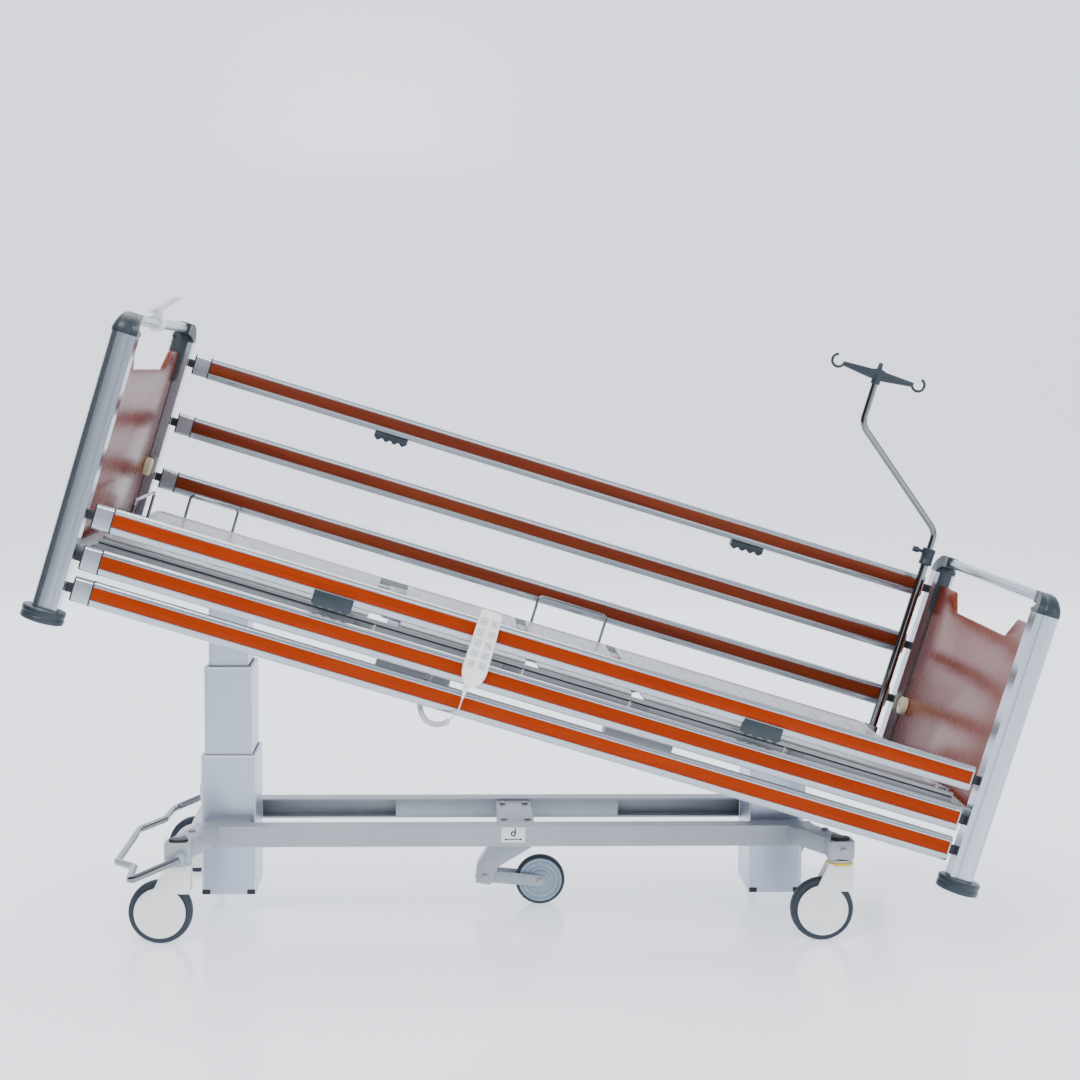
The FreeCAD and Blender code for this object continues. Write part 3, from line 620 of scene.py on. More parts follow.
# %% Finger grips
def grip_outline(middle, top, deep, fingers=4, half=0.046):
    """Flat along the top, with one wave for each finger below."""
    waves = []
    for i in range(8 * fingers + 1):
        x = middle - half + 2 * half * i / (8 * fingers)
        waves.append((x, top - deep + 0.0035 * math.cos(2 * math.pi * i / 8)))
    return [(middle + half, top), (middle - half, top)] + waves


for side, across in (("near", NEAR), ("far", FAR)):
    z = RAIL_LEVELS[(side, "top")]
    grips = []
    for x in (-0.478, 0.54):
        grips.append(prism(grip_outline(x, z - 0.0145, 0.033), *span(across, 0.4843, 0.4895), "y",
                           0.0012, 2))
        grips.append(prism(grip_outline(x, z - 0.0292, 0.018), *span(across, 0.458, 0.4843), "y",
                           0.0012, 2))
    piece(f"finger_grips_{side}", grips, corner_plastic, f"{side}_top_rail", (f"{side}_grips",))

# %% [markdown]
# ## Boards
# The posts are D-shaped extrusions, rounded outwards, with a flat bright front. Each corner cap is
# an elbow that carries the grab bar, with a tongue that runs down inside the post.

# %% Posts
POST_X, POST_Y, POST_LOW, POST_TOP = 1.088, 0.47, -0.185, 0.457
BAR_Z = 0.487


def post_outline(end, grow=0.0):
    """A D: flat towards the bed, round away from it, with two shallow grooves on the flat sides."""
    half_x, half_y, round_y = 0.03 + grow, 0.024 + grow, 10
    outline = [(-half_x, -half_y), (-0.018, -half_y), (-0.017, 0.0012 - half_y), (-0.014, 0.0012 - half_y),
               (-0.013, -half_y)]
    for i in range(round_y + 1):
        angle = -math.pi / 2 + math.pi * i / round_y
        outline.append((0.012 + (half_x - 0.012) * math.cos(angle), half_y * math.sin(angle)))
    outline += [(-0.013, half_y), (-0.014, half_y - 0.0012), (-0.017, half_y - 0.0012), (-0.018, half_y),
                (-half_x, half_y)]
    return [(end * (POST_X + u), v) for u, v in outline]


posts = [prism([(x, y + across * POST_Y) for x, y in post_outline(end)], POST_LOW, POST_TOP, "z", 0.0005)
         for end, across in CORNERS]
piece("posts", posts, post_aluminium, "bed_frame", ("board_posts",), crease=25)


# %% Corner caps
def elbow(end, across):
    """Sweep the post's outline round a quarter turn into the grab bar's end."""
    work = bmesh.new()
    centre_y, centre_z = across * 0.43, 0.4615
    reach_y, reach_z = POST_Y - 0.43, BAR_Z - 0.4615
    rings = []
    steps = 10
    base = post_outline(end, 0.0012)
    for i in range(-1, steps + 2):
        share = min(max(i / steps, 0), 1)
        angle = math.pi / 2 * share
        shrink = 1 - 0.42 * share
        spot_y = centre_y + across * reach_y * math.cos(angle)
        spot_z = centre_z + reach_z * math.sin(angle)
        out = Vector((0, across * math.cos(angle), math.sin(angle)))
        if i < 0:
            spot_z = POST_TOP - 0.004
        if i > steps:
            spot_y = across * 0.408
        ring = []
        for u, v in base:
            du = (u - end * POST_X) * (1 - 0.4 * share)
            spot = Vector((end * POST_X + du, spot_y, spot_z)) + out * v * (across if share < 1 else 1) * shrink
            ring.append(work.verts.new(spot))
        rings.append(ring)
    bridge(work, rings)
    return to_mesh(work)


def tongue(end, across):
    """The flat tongue down the post's inner side, with a round end."""
    half, low, top = 0.016, 0.337, 0.469
    outline = [(end * POST_X + half, top), (end * POST_X - half, top)]
    for i in range(13):
        angle = math.pi + math.pi * i / 12
        outline.append((end * POST_X + half * math.cos(angle), low + half + half * math.sin(angle)))
    inner = POST_Y - 0.024
    return prism(outline, *span(across, inner, inner - 0.0055), "y", 0.0012, 2)


caps = [make(end, across) for end, across in CORNERS for make in (elbow, tongue)]
piece("corner_caps", caps, corner_plastic, "bed_frame", ("board_caps",), crease=50)

# %% Grab bars and laminate boards
bars = [lathe([(0.0128, -0.409), (0.013, -0.407), (0.013, 0.407), (0.0128, 0.409)],
              (end * POST_X, 0, BAR_Z)) for end in (FOOT, HEAD)]
piece("grab_bars", bars, rail_aluminium, "bed_frame", ("board_top_bars",))


def arc(centre_u, centre_v, radius, start, end, steps=6):
    """Points of an arc, angles in degrees."""
    return [(centre_u + radius * math.cos(math.radians(start + (end - start) * i / steps)),
             centre_v + radius * math.sin(math.radians(start + (end - start) * i / steps)))
            for i in range(steps + 1)]


BOARD_HALF, BOARD_TOP, NOTCH = 0.438, 0.42, 0.37
half_board = ([(0.0, NOTCH)] + arc(0.232, NOTCH + 0.016, 0.016, -90, -32) + arc(0.304, BOARD_TOP - 0.024, 0.024,
                                                                                148, 90)
              + [(BOARD_HALF, BOARD_TOP), (BOARD_HALF, -0.038)] + arc(BOARD_HALF - 0.012, -0.038, 0.012, 0, -90))
board_outline = half_board + [(-u, v) for u, v in reversed(half_board[1:])]
boards = [prism(board_outline, end * POST_X - 0.005, end * POST_X + 0.005, "x", 0.0012, 2) for end in (FOOT, HEAD)]
piece("laminate_boards", boards, board_wood, "bed_frame", ("board_panels",))

# %% Wall discs and bumper rollers
DISC_Y, DISC_PLACES = 0.408, ((FOOT, 0.105), (HEAD, 0.075))
disc_profile = [(0.004, 0), (0.0225, 0), (0.024, 0.0015), (0.024, 0.014), (0.0215, 0.0175), (0.0075, 0.0185),
                (0.0065, 0.016)]
discs = [lathe(disc_profile, (end * (POST_X - 0.005), DISC_Y, z), Vector((-end, 0, 0)), 40)
         for end, z in DISC_PLACES]
piece("cream_discs", discs, cream_plastic, "bed_frame")
holes = [lathe([(0.0062, 0.0162), (0.0062, 0.0168)], (end * (POST_X - 0.005), DISC_Y, z), Vector((-end, 0, 0)), 20)
         for end, z in DISC_PLACES]
piece("disc_holes", holes, black_plastic, "bed_frame")

roller = [(0.006, 0), (0.0455, 0), (0.0485, 0.0012), (0.0495, 0.004), (0.0495, 0.0105), (0.0482, 0.0125),
          (0.0482, 0.0175), (0.0495, 0.0195), (0.0495, 0.026), (0.0485, 0.0288), (0.0455, 0.03), (0.02, 0.03)]
for end, across in CORNERS:
    corner = f"{END_NAMES[end]}_{SIDE_NAMES[across]}"
    disc = lathe(roller, (end * POST_X, across * POST_Y, POST_LOW - 0.0305), VERTICAL)
    piece(f"roller_{corner}", [disc], corner_plastic, f"bumper_{corner}", (f"bumper_{corner}",))

# %% [markdown]
# ## Copies by Geometry Nodes
# Screws, keys and clips repeat, so one small node group sets a unit on every spot and turns its Z
# axis to the spot's aim. The result becomes plain mesh data before it joins a piece.

# %% One node group for everything that repeats
copies = bpy.data.node_groups.new("copies", "GeometryNodeTree")
copies.interface.new_socket("Geometry", in_out="INPUT", socket_type="NodeSocketGeometry")
UNIT = copies.interface.new_socket("Unit", in_out="INPUT", socket_type="NodeSocketObject").identifier
FINISH = copies.interface.new_socket("Finish", in_out="INPUT", socket_type="NodeSocketMaterial").identifier
copies.interface.new_socket("Geometry", in_out="OUTPUT", socket_type="NodeSocketGeometry")
entry, out = add(copies, "NodeGroupInput"), add(copies, "NodeGroupOutput")
unit = add(copies, "GeometryNodeObjectInfo", {"Object": entry.outputs["Unit"]})
aim = add(copies, "GeometryNodeInputNamedAttribute", {"Name": "aim"}, data_type="FLOAT_VECTOR")
turn = add(copies, "FunctionNodeAlignRotationToVector", {"Vector": aim.outputs["Attribute"]}, axis="Z")
placed = add(copies, "GeometryNodeInstanceOnPoints", {"Points": entry.outputs["Geometry"],
             "Instance": unit.outputs["Geometry"], "Rotation": turn.outputs["Rotation"]})
real = add(copies, "GeometryNodeRealizeInstances", {"Geometry": placed.outputs["Instances"]})
coated = add(copies, "GeometryNodeSetMaterial", {"Geometry": real.outputs["Geometry"],
             "Material": entry.outputs["Finish"]})
copies.links.new(coated.outputs["Geometry"], out.inputs["Geometry"])


def repeat(unit_mesh, spots_and_aims, material):
    """Plain mesh data: one copy of the unit on each spot, its Z along the aim."""
    unit_object = bpy.data.objects.new("unit", unit_mesh)
    cloud = bpy.data.meshes.new("spots")
    cloud.from_pydata([tuple(spot) for spot, _ in spots_and_aims], [], [])
    aims = cloud.attributes.new("aim", "FLOAT_VECTOR", "POINT")
    for item, (_, way) in zip(aims.data, spots_and_aims):
        item.vector = way
    holder = bpy.data.objects.new("spots", cloud)
    for item in (unit_object, holder):
        bpy.context.collection.objects.link(item)
    modifier = holder.modifiers.new("copies", "NODES")
    modifier.node_group = copies
    modifier[UNIT], modifier[FINISH] = unit_object, material
    bpy.context.view_layer.update()
    mesh = bpy.data.meshes.new_from_object(holder.evaluated_get(bpy.context.evaluated_depsgraph_get()))
    holder.modifiers.remove(modifier)
    for item in (unit_object, holder):
        bpy.data.objects.remove(item)
    return mesh


def hex_bolt(across=0.013, high=0.005):
    """A hexagon head on its washer, with a turned chamfer."""
    rim, flat = [], across / 2 / math.cos(math.pi / 6)
    for i in range(6):
        rim.append((flat * math.cos(math.pi * i / 3), flat * math.sin(math.pi * i / 3)))
    head = prism(rim, 0.0012, high, "z", 0.0006, 2)
    washer = lathe([(0.002, 0), (across * 0.72, 0), (across * 0.76, 0.0004), (across * 0.74, 0.0013),
                    (0.002, 0.0013)],
                   (0, 0, 0), VERTICAL, 32)
    return joined([head, washer])


def joined(meshes):
    """Several bits of mesh data as one."""
    work = bmesh.new()
    for mesh in meshes:
        work.from_mesh(mesh)
    return to_mesh(work)


def hollow(centre, half_u, half_v, wall, corner, start, end, axis="z", lip=0.0012):
    """A rounded rectangular tube with broken rims, along x, y or z."""
    order = {"x": lambda u, v, d: (d, u, v), "y": lambda u, v, d: (u, d, v), "z": lambda u, v, d: (u, v, d)}[axis]
    loops = [(0, start + lip), (0, end - lip), (lip, end), (wall - lip / 2, end), (wall, end - lip),
             (wall, start + lip),
             (wall - lip / 2, start), (lip, start)]
    work, rings = bmesh.new(), []
    for inset, along in loops:
        outline = oval(half_u - inset, half_v - inset, max(corner - inset, 0.0005))
        rings.append([work.verts.new(order(centre[0] + u, centre[1] + v, along)) for u, v in outline])
    bridge(work, rings, closed=True)
    return to_mesh(work)


def dress(name, material):
    """A CAD node that stays as it is, with a procedural finish in its slots."""
    node = frame["nodes"][name]
    if not node.material_slots:
        node.data.materials.append(material)
    for place in node.material_slots:
        place.material = material


# %% [markdown]
# ## Base
# Two C-shaped side beams face each other, so the far beam's inner channel shows over the near beam.
# Between the middle cross members a plate closes the channels. The arms are bent plates that end in
# the blocks over the casters.

# %% Beams, cross members and arms
BEAM_Y = 0.157
BEAM_FOOT, BEAM_HEAD = -0.763, 0.743
STEM_X, STEM_Y = 0.78, 0.33
channel = [(-0.025, -0.025), (0.025, -0.025), (0.025, -0.0205), (0.021, -0.0205), (0.021, -0.021), (-0.021, -0.021),
           (-0.021, 0.021), (0.025, 0.021), (0.025, 0.025), (-0.025, 0.025)]
base_parts = []
for across in (NEAR, FAR):
    outline = [(across * (BEAM_Y - u), 0.215 + v) for u, v in channel]
    base_parts.append(prism(outline, BEAM_FOOT, BEAM_HEAD, "x", 0.0012, 2))
    inner = span(across, BEAM_Y - 0.0245, BEAM_Y - 0.0215)
    base_parts.append(block((-0.286, inner[0], 0.1935), (0.289, inner[1], 0.2365), 0.0006, 2))
    for x in (BEAM_FOOT, BEAM_HEAD - 0.004):
        base_parts.append(block((x, across * BEAM_Y - 0.024, 0.191), (x + 0.004, across * BEAM_Y + 0.024, 0.239),
                                0.001, 2))
    for x in (FOOT_COLUMN_X, HEAD_COLUMN_X):
        sides = span(across, 0.0895, 0.134)
        base_parts.append(block((x - 0.055, sides[0], 0.195), (x + 0.055, sides[1], 0.235), 0.002, 2))
base_parts.append(block((-0.028, -0.134, 0.195), (0.062, 0.134, 0.235), 0.003, 3))
for end, tip in ((FOOT, BEAM_FOOT), (HEAD, BEAM_HEAD)):
    for across in (NEAR, FAR):
        wall, stem = across * (BEAM_Y + 0.025), end * STEM_X
        plan = [(tip, wall), (tip - end * 0.06, wall), (stem - end * 0.031, across * 0.306),
                (stem + end * 0.031, across * 0.306)]
        base_parts.append(prism(plan, 0.197, 0.239, "z", 0.003, 3))
        top_plate = [(tip - end * 0.002, wall * 0.9), (tip - end * 0.064, wall * 0.9),
                     (stem - end * 0.029, across * 0.322),
                     (stem + end * 0.029, across * 0.322)]
        base_parts.append(prism(top_plate, 0.2388, 0.2412, "z", 0.0008, 2))
        base_parts.append(prism(shifted(oval(0.031, 0.025, 0.008), stem, across * STEM_Y), 0.1966, 0.2415, "z",
                                0.002, 3))
piece("base_frame_shell", base_parts, silver_coat, "base", ("base_frame",), BASE)

bolt_spots = []
for end, across in CORNERS:
    stem = end * STEM_X
    bolt_spots += [((stem - end * 0.006, across * 0.292, 0.2412), (0, 0, 1)),
                   ((stem - end * 0.018, across * 0.232, 0.2412), (0, 0, 1))]
    if end == HEAD:
        bolt_spots.append(((stem + 0.004, across * 0.355, 0.219), (0, across, 0)))
for x in (-0.012, 0.046):
    bolt_spots += [((x, -0.09, 0.235), (0, 0, 1)), ((x, 0.09, 0.235), (0, 0, 1))]
piece("base_bolts", [repeat(hex_bolt(), bolt_spots, zinc)], zinc, "base", (), BASE)

ovals = [prism(shifted(oval(0.023, 0.017, 0.0165), end * STEM_X, across * STEM_Y), 0.2412, 0.2475, "z", 0.0018, 3)
         for end, across in CORNERS]
piece("arm_plugs", ovals, black_plastic, "base", ("arm_caps",), BASE)

# %% [markdown]
# A small plate on the near beam shows what the middle wheel does: a wheel over a double arrow, drawn
# as raised print.

# %% Pictogram plate
plate_x, face = 0.008, -BEAM_Y - 0.025
plate = block((plate_x - 0.029, face - 0.0012, 0.2), (plate_x + 0.029, face, 0.2375), 0.0005, 2)
piece("pictogram_plate", [plate], white_plastic, "base", (), BASE)
arrow = [(-0.022, 0), (-0.016, 0.0035), (-0.016, 0.001), (0.016, 0.001), (0.016, 0.0035), (0.022, 0),
         (0.016, -0.0035), (0.016, -0.001), (-0.016, -0.001), (-0.016, -0.0035)]
marks = [prism([(plate_x + u, 0.2075 + v) for u, v in arrow], face - 0.0015, face - 0.0011, "y", 0),
         turned_ring(0.0065, 0.0032, 0.0004, (plate_x, face - 0.0013, 0.2215), ACROSS, 0.0001),
         prism([(plate_x + u, v)
                for u, v in ((0.0035, 0.226), (0.0065, 0.2225), (0.0065, 0.2345), (0.0035, 0.2345))],
               face - 0.0015, face - 0.0011, "y", 0)]
piece("pictogram_print", marks, black_plastic, "base", (), BASE)

# %% [markdown]
# ## Casters
# A white housing hides most of each wheel: a straight neck under the arm, and a flat disc on each
# side that leaves a ring of the tyre in sight. One head caster has a yellow ring, for steering.

# %% Casters
def cheek_outline(stem):
    """The neck's outline, running into the disc round the axle."""
    axle, radius = stem - 0.042, 0.06
    points = [(stem + 0.029, 0.187), (stem + 0.029, 0.124)]
    points += [(stem + 0.028, 0.1215), (stem + 0.0265, 0.1205), (axle + 0.0385, 0.1205)]
    for i in range(41):
        angle = math.radians(50 - (50 + 257.8) * i / 40)
        points.append((axle + radius * math.cos(angle), 0.075 + radius * math.sin(angle)))
    return points + [(stem - 0.029, 0.187)]


tyre_profile = [(0.0585, -0.015), (0.069, -0.015), (0.0728, -0.0128), (0.0745, -0.009), (0.075, -0.004),
                (0.075, 0.004), (0.0745, 0.009), (0.0728, 0.0128), (0.069, 0.015), (0.0585, 0.015)]
disc_profile = [(0.0062, -0.0168), (0.018, -0.0168), (0.02, -0.015), (0.028, -0.0135), (0.056, -0.013),
                (0.0592, -0.0142), (0.0592, 0.0142), (0.056, 0.013), (0.028, 0.0135), (0.02, 0.015),
                (0.018, 0.0168), (0.0062, 0.0168)]
for end, across in CORNERS:
    name, x, y = f"{END_NAMES[end]}_{SIDE_NAMES[across]}", end * STEM_X, across * STEM_Y
    shell = [prism(cheek_outline(x), *sorted((y + out * 0.018, y + out * 0.022)), "y", 0.0012, 3) for out in (-1,
                                                                                                              1)]
    shell.append(block((x - 0.0288, y - 0.0185, 0.154), (x + 0.0288, y + 0.0185, 0.187), 0.0015, 2))
    shell.append(lathe([(0.004, 0), (0.0265, 0), (0.029, 0.002), (0.0292, 0.012), (0.028, 0.0145), (0.004, 0.0145)],
                       (x, y, 0.1715), VERTICAL))
    axle_caps = [lathe([(0.001, 0), (0.0085, 0), (0.008, 0.001), (0.001, 0.0016)],
                       (x - 0.042, y + out * 0.022, 0.075),
                       Vector((0, out, 0)), 32) for out in (-1, 1)]
    piece(f"caster_shell_{name}", shell + axle_caps, white_plastic, f"caster_{name}",
          (f"caster_housing_{name}",), BASE)
    collar = lathe([(0.004, 0), (0.029, 0), (0.0294, 0.0006), (0.0294, 0.0068), (0.0286, 0.0076), (0.004, 0.0076)],
                   (x, y, 0.1886), VERTICAL)
    pin = lathe([(0.001, -0.0185), (0.0059, -0.0185), (0.0059, 0.0185), (0.001, 0.0185)], (x - 0.042, y, 0.075))
    piece(f"caster_collar_{name}", [collar, pin], zinc, f"caster_{name}", (), BASE)
    ring = turned_ring(0.031, 0.02, 0.0068, (x, y, 0.1866), VERTICAL, 0.0014)
    steering = name == "head_near"
    piece(f"caster_ring_{name}", [ring], yellow_plastic if steering else pale_ring, f"caster_{name}",
          (), BASE)
    centre = (x - 0.042, y, 0.075)
    piece(f"caster_tyre_{name}", [lathe(tyre_profile, centre, steps=96, closed=True)], tyre_rubber,
          f"wheel_{name}",
          (f"caster_wheel_{name}",), BASE)
    piece(f"caster_disc_{name}", [lathe(disc_profile, centre, closed=True)], hub_plastic, f"wheel_{name}",
          (), BASE)

# %% [markdown]
# The middle wheel steers the bed. A sprung fork presses it down from a pressed bracket under the
# cross member. Its blue-grey disc has two turned grooves.

# %% Middle wheel
PIVOT_X, PIVOT_Z, WHEEL_X, WHEEL_R = -0.058, 0.074, 0.082, 0.0625
plates = [block((-0.026, -0.04, 0.187), (0.06, 0.04, 0.1948), 0.0012, 2)]
side_plate = [(-0.082, 0.06), (-0.044, 0.054), (-0.024, 0.1), (0.058, 0.15), (0.058, 0.188), (-0.024, 0.188),
              (-0.076, 0.104)]
for out in (-1, 1):
    plates.append(prism(side_plate, *span(out, 0.025, 0.029), "y", 0.0012, 2))
plates.append(prism([(-0.0765, 0.1035), (-0.0735, 0.1035), (-0.0205, 0.1875), (-0.0235, 0.1875)], -0.0285, 0.0285,
                    "y", 0.0006, 2))
piece("middle_bracket", plates, silver_coat, "base", ("fifth_wheel_bracket",), BASE)
pivots = [((PIVOT_X, out * 0.029, PIVOT_Z), (0, out, 0)) for out in (-1, 1)]
piece("middle_pivot_bolts", [repeat(hex_bolt(0.015, 0.006), pivots, zinc)], zinc, "base", (), BASE)
fork_side = [(-0.072, 0.061), (0.072, 0.0485), (0.086, 0.05), (0.094, 0.056), (0.0955, 0.064), (0.091, 0.072),
             (0.076, 0.0775), (-0.052, 0.09), (-0.072, 0.086)]
fork = [prism(fork_side, *span(out, 0.0195, 0.023), "y", 0.001, 2) for out in (-1, 1)]
fork.append(lathe([(0.001, -0.022), (0.0059, -0.022), (0.0059, 0.022), (0.001, 0.022)], (WHEEL_X, 0, WHEEL_R)))
piece("middle_fork", fork, silver_coat, "fifth_fork", ("fifth_wheel_fork",), BASE)
axle_ends = [((WHEEL_X, out * 0.023, WHEEL_R), (0, out, 0)) for out in (-1, 1)]
piece("middle_axle_bolts", [repeat(hex_bolt(0.013, 0.005), axle_ends, zinc)], zinc, "fifth_fork", (), BASE)
half_tyre = [(0.0545, 0.014), (0.0585, 0.0138), (0.0612, 0.0112), (0.0625, 0.0065)]
half_disc = [(0.0062, 0.017), (0.023, 0.017), (0.0245, 0.0155), (0.0262, 0.0122), (0.033, 0.012), (0.0338, 0.0104),
             (0.0356, 0.0104), (0.0364, 0.012), (0.0452, 0.012), (0.046, 0.0104), (0.0478, 0.0104),
             (0.0486, 0.013), (0.0547, 0.0134)]
for name, half, material, slot, nodes in (("middle_tyre", half_tyre, tyre_rubber, "wheel_rubber", ("fifth_wheel",)),
                                          ("middle_disc", half_disc, blue_disc, "housing_plastic", ())):
    profile = [(r, -d) for r, d in half] + [(r, d) for r, d in reversed(half)]
    piece(name, [lathe(profile, (WHEEL_X, 0, WHEEL_R), steps=96, closed=True)], material, "fifth_wheel",
          nodes, BASE)

# %% Brake bar
HUB_X, HUB_Z, BAR_Y = -0.77, 0.211, 0.382
bar_route = [(HUB_X, -BAR_Y, HUB_Z), (-0.888, -BAR_Y, 0.16), (-0.896, -0.25, 0.16), (-0.95, -0.17, 0.152),
             (-0.95, 0.17, 0.152), (-0.896, 0.25, 0.16), (-0.888, BAR_Y, 0.16), (HUB_X, BAR_Y, HUB_Z)]
shafts = [lathe([(0.001, 0), (0.0088, 0), (0.0088, 0.018), (0.001, 0.018)], (HUB_X, across * 0.345, HUB_Z),
                Vector((0, across, 0)))
          for across in (NEAR, FAR)]
piece("brake_bar_tube", [wire(bar_route, 0.009, 0.024)] + shafts, chrome, "brake_bar", ("brake_bar",),
      BASE)
hexagon = [(HUB_X + 0.014 * math.cos(math.pi * i / 3), HUB_Z + 0.014 * math.sin(math.pi * i / 3)) for i in range(6)]
hubs = [prism(hexagon, *span(across, 0.362, 0.386), "y", 0.0015, 3) for across in (NEAR, FAR)]
piece("brake_hubs", hubs, blue_disc, "brake_bar", (), BASE)

# %% [markdown]
# ## Lifting columns
# Each column is three brushed tubes with bright edge beads and a pale frame round each mouth. The
# foot column is out, the head one is down. Ears on the inner tube carry the bed's pivots.

# %% Columns
LOW, STAGE = 0.049, 0.348
stages = (("outer", 0.066, 0.09, 0.006, 0.0, 0.0), ("middle", 0.058, 0.081, 0.007, 0.006, 0.212),
          ("inner", 0.048, 0.068, 0.006, 0.007, 0.4072))
for end_name, x, up in (("foot", FOOT_COLUMN_X, 1), ("head", HEAD_COLUMN_X, 0)):
    for stage_name, half_x, half_y, wall, start, rise in stages:
        node_name = f"{end_name}_column_{stage_name}"
        body = "base" if stage_name == "outer" else node_name
        z0 = LOW + start + rise * up
        z1 = z0 + STAGE
        shell = [hollow((x, 0), half_x, half_y, wall, 0.007, z0, z1 - 0.002)]
        if stage_name == "outer":
            shell.append(block((x - half_x + 0.004, 0.004 - half_y, z0),
                               (x + half_x - 0.004, half_y - 0.004, z0 + 0.005), 0.001, 2))
        if stage_name == "inner":
            shell.append(block((x - half_x + 0.004, 0.004 - half_y, z1 - 0.008),
                               (x + half_x - 0.004, half_y - 0.004, z1 - 0.002), 0.001, 2))
        piece(f"{node_name}_tube", shell, column_aluminium, body, (node_name,), BASE, crease=40)
        trim = [hollow((x, 0), half_x + 0.0008, half_y + 0.0008, wall + 0.0008, 0.0075, z1 - 0.006, z1)]
        for side_x in (-1, 1):
            for side_y in (-1, 1):
                spot = (x + side_x * (half_x - 0.0018), side_y * (half_y - 0.0018))
                trim.append(prism(shifted(oval(0.0022, 0.0022, 0.0021, 4), *spot), z0 + 0.001, z1 - 0.005, "z", 0))
        piece(f"{node_name}_trim", trim, bright_trim, body, (), BASE)
        if stage_name == "inner":
            pin_z = z1 + 0.035
            ear = [(x - 0.022, z1 - 0.001), (x + 0.022, z1 - 0.001), (x + 0.022, pin_z + 0.004),
                   (x + 0.012, pin_z + 0.018),
                   (x - 0.012, pin_z + 0.018), (x - 0.022, pin_z + 0.004)]
            ears = [prism(ear, *span(out, 0.054, 0.066), "y", 0.0015, 2) for out in (-1, 1)]
            piece(f"{end_name}_pivot_ears", ears, zinc, body, (), BASE)
            pin = lathe([(0.001, -0.113), (0.0092, -0.113), (0.01, -0.1122), (0.01, 0.1122), (0.0092, 0.113),
                         (0.001, 0.113)], (x, 0, pin_z))
            if end_name == "head":
                piece("head_pin", [pin], zinc, "head_pivot_pin", ("head_pivot_pin",), BASE)
            else:
                piece("foot_pin", [pin], zinc, body, (), BASE)
    clip = block((-0.01, -0.0055, 0), (0.01, 0.0055, 0.012), 0.002, 3)
    clip_spots = [((x + sx * 0.055, sy * 0.0873, LOW + 0.0005), (0, 0, 1)) for sx in (-1, 1) for sy in (-1, 1)]
    piece(f"{end_name}_column_clips", [repeat(clip, clip_spots, black_plastic)], black_plastic, "base",
          (), BASE)

# %% [markdown]
# ## Bed frame
# Square tubes carry everything under the platform. Along each side runs a grey profile with a bright
# lower bead and a dark joint piece at each hinge, which shows between the upper two rails.

# %% Frame tubes and side profiles
FRAME_Z = -0.045
lean_sin, lean_cos = math.sin(LEAN), math.cos(LEAN)


def pivot_at(column):
    """Where a column's pivot lies along the level bed frame."""
    offset = (BASE @ Vector((column, 0, 0))).x - origin.x
    return (offset + 0.045 * lean_sin) / lean_cos


head_at, foot_at = pivot_at(HEAD_COLUMN_X), pivot_at(FOOT_COLUMN_X)
slot_run = (HEAD_COLUMN_X - FOOT_COLUMN_X) * (1 / lean_cos - 1)
tubes = []
for across in (NEAR, FAR):
    tubes.append(hollow((across * 0.36, FRAME_Z), 0.015, 0.015, 0.003, 0.003, -1.04, 1.04, "x"))
for x in (foot_at - 0.109, foot_at + slot_run + 0.109, head_at - 0.109, head_at + 0.109, -0.33, 0.25):
    tubes.append(block((x - 0.015, -0.346, FRAME_Z - 0.015), (x + 0.015, 0.346, FRAME_Z + 0.015), 0.002, 3))
for end in (FOOT, HEAD):
    x = span(end, 1.039, 1.07)
    tubes.append(block((x[0], -0.447, FRAME_Z - 0.015), (x[1], 0.447, FRAME_Z + 0.015), 0.002, 3))
piece("frame_tubing", tubes, silver_coat, "bed_frame", ("frame_tubes",))
dress("pivot_brackets", zinc)

side_half = [(-0.004, -0.0035), (0.0038, -0.0035), (0.005, -0.006), (0.005, -0.0115), (0.0018, -0.0125),
             (0.0018, -0.016),
             (0.0034, -0.017), (0.0034, -0.061), (0.005, -0.0625), (0.005, -0.07), (0.0038, -0.072),
             (-0.004, -0.072)]
covers = []
for across in (NEAR, FAR):
    outline = [(across * (0.441 + u), v) for u, v in side_half]
    covers.append(prism(outline, -1.02, 1.02, "x", 0.0006, 2))
    for x in (-0.94, -0.5, -0.15, 0.15, 0.42, 0.82):
        y = span(across, 0.374, 0.4375)
        covers.append(block((x - 0.02, y[0], -0.058), (x + 0.02, y[1], -0.034), 0.002, 2))
piece("side_covers", covers, cover_grey, "bed_frame", ("side_profiles",))
beads = [prism(shifted(oval(0.0014, 0.0036, 0.0013, 4), across * 0.4456, -0.0665), -1.019, 1.019, "x", 0)
         for across in (NEAR, FAR)]
for x in (-0.372, -0.02, 0.236, 0.61):
    beads += [block((x - 0.0025, *span(across, 0.444, 0.4462)[:1], -0.062),
                    (x + 0.0025, span(across, 0.444, 0.4462)[1], -0.014), 0.0006, 2) for across in (NEAR, FAR)]
piece("side_beads", beads, pale_coat, "bed_frame")
joint_block = joined([block((-0.019, -0.0022, -0.022), (0.019, 0.0022, 0.022), 0.0015, 2),
                      block((-0.0085, -0.0034, -0.01), (0.0085, 0.0034, 0.01), 0.0012, 2)])
joint_spots = [((x, across * 0.4446, -0.038), (0, 0, 1)) for across in (NEAR, FAR) for x in (-0.4, -0.048, 0.264,
                                                                                             0.64)]
piece("side_joints", [repeat(joint_block, joint_spots, grey_plastic)], grey_plastic, "bed_frame")
# A black strip in each side profile's groove: painted shadow where the groove lies in shade.
groove_shadow_strips = [block((-1.018, *span(across, 0.4415, 0.444)[:1], -0.0155),
              (1.018, span(across, 0.4415, 0.444)[1], -0.0125), 0.0003, 1)
        for across in (NEAR, FAR)]
piece("side_gaskets", groove_shadow_strips, black_plastic, "bed_frame")

# %% [markdown]
# ## Platform
# Four pressed sheet panels: a raised rim, a shallow tray and pressed ribs across. The seat is fixed;
# the others swing on pins through their ears.

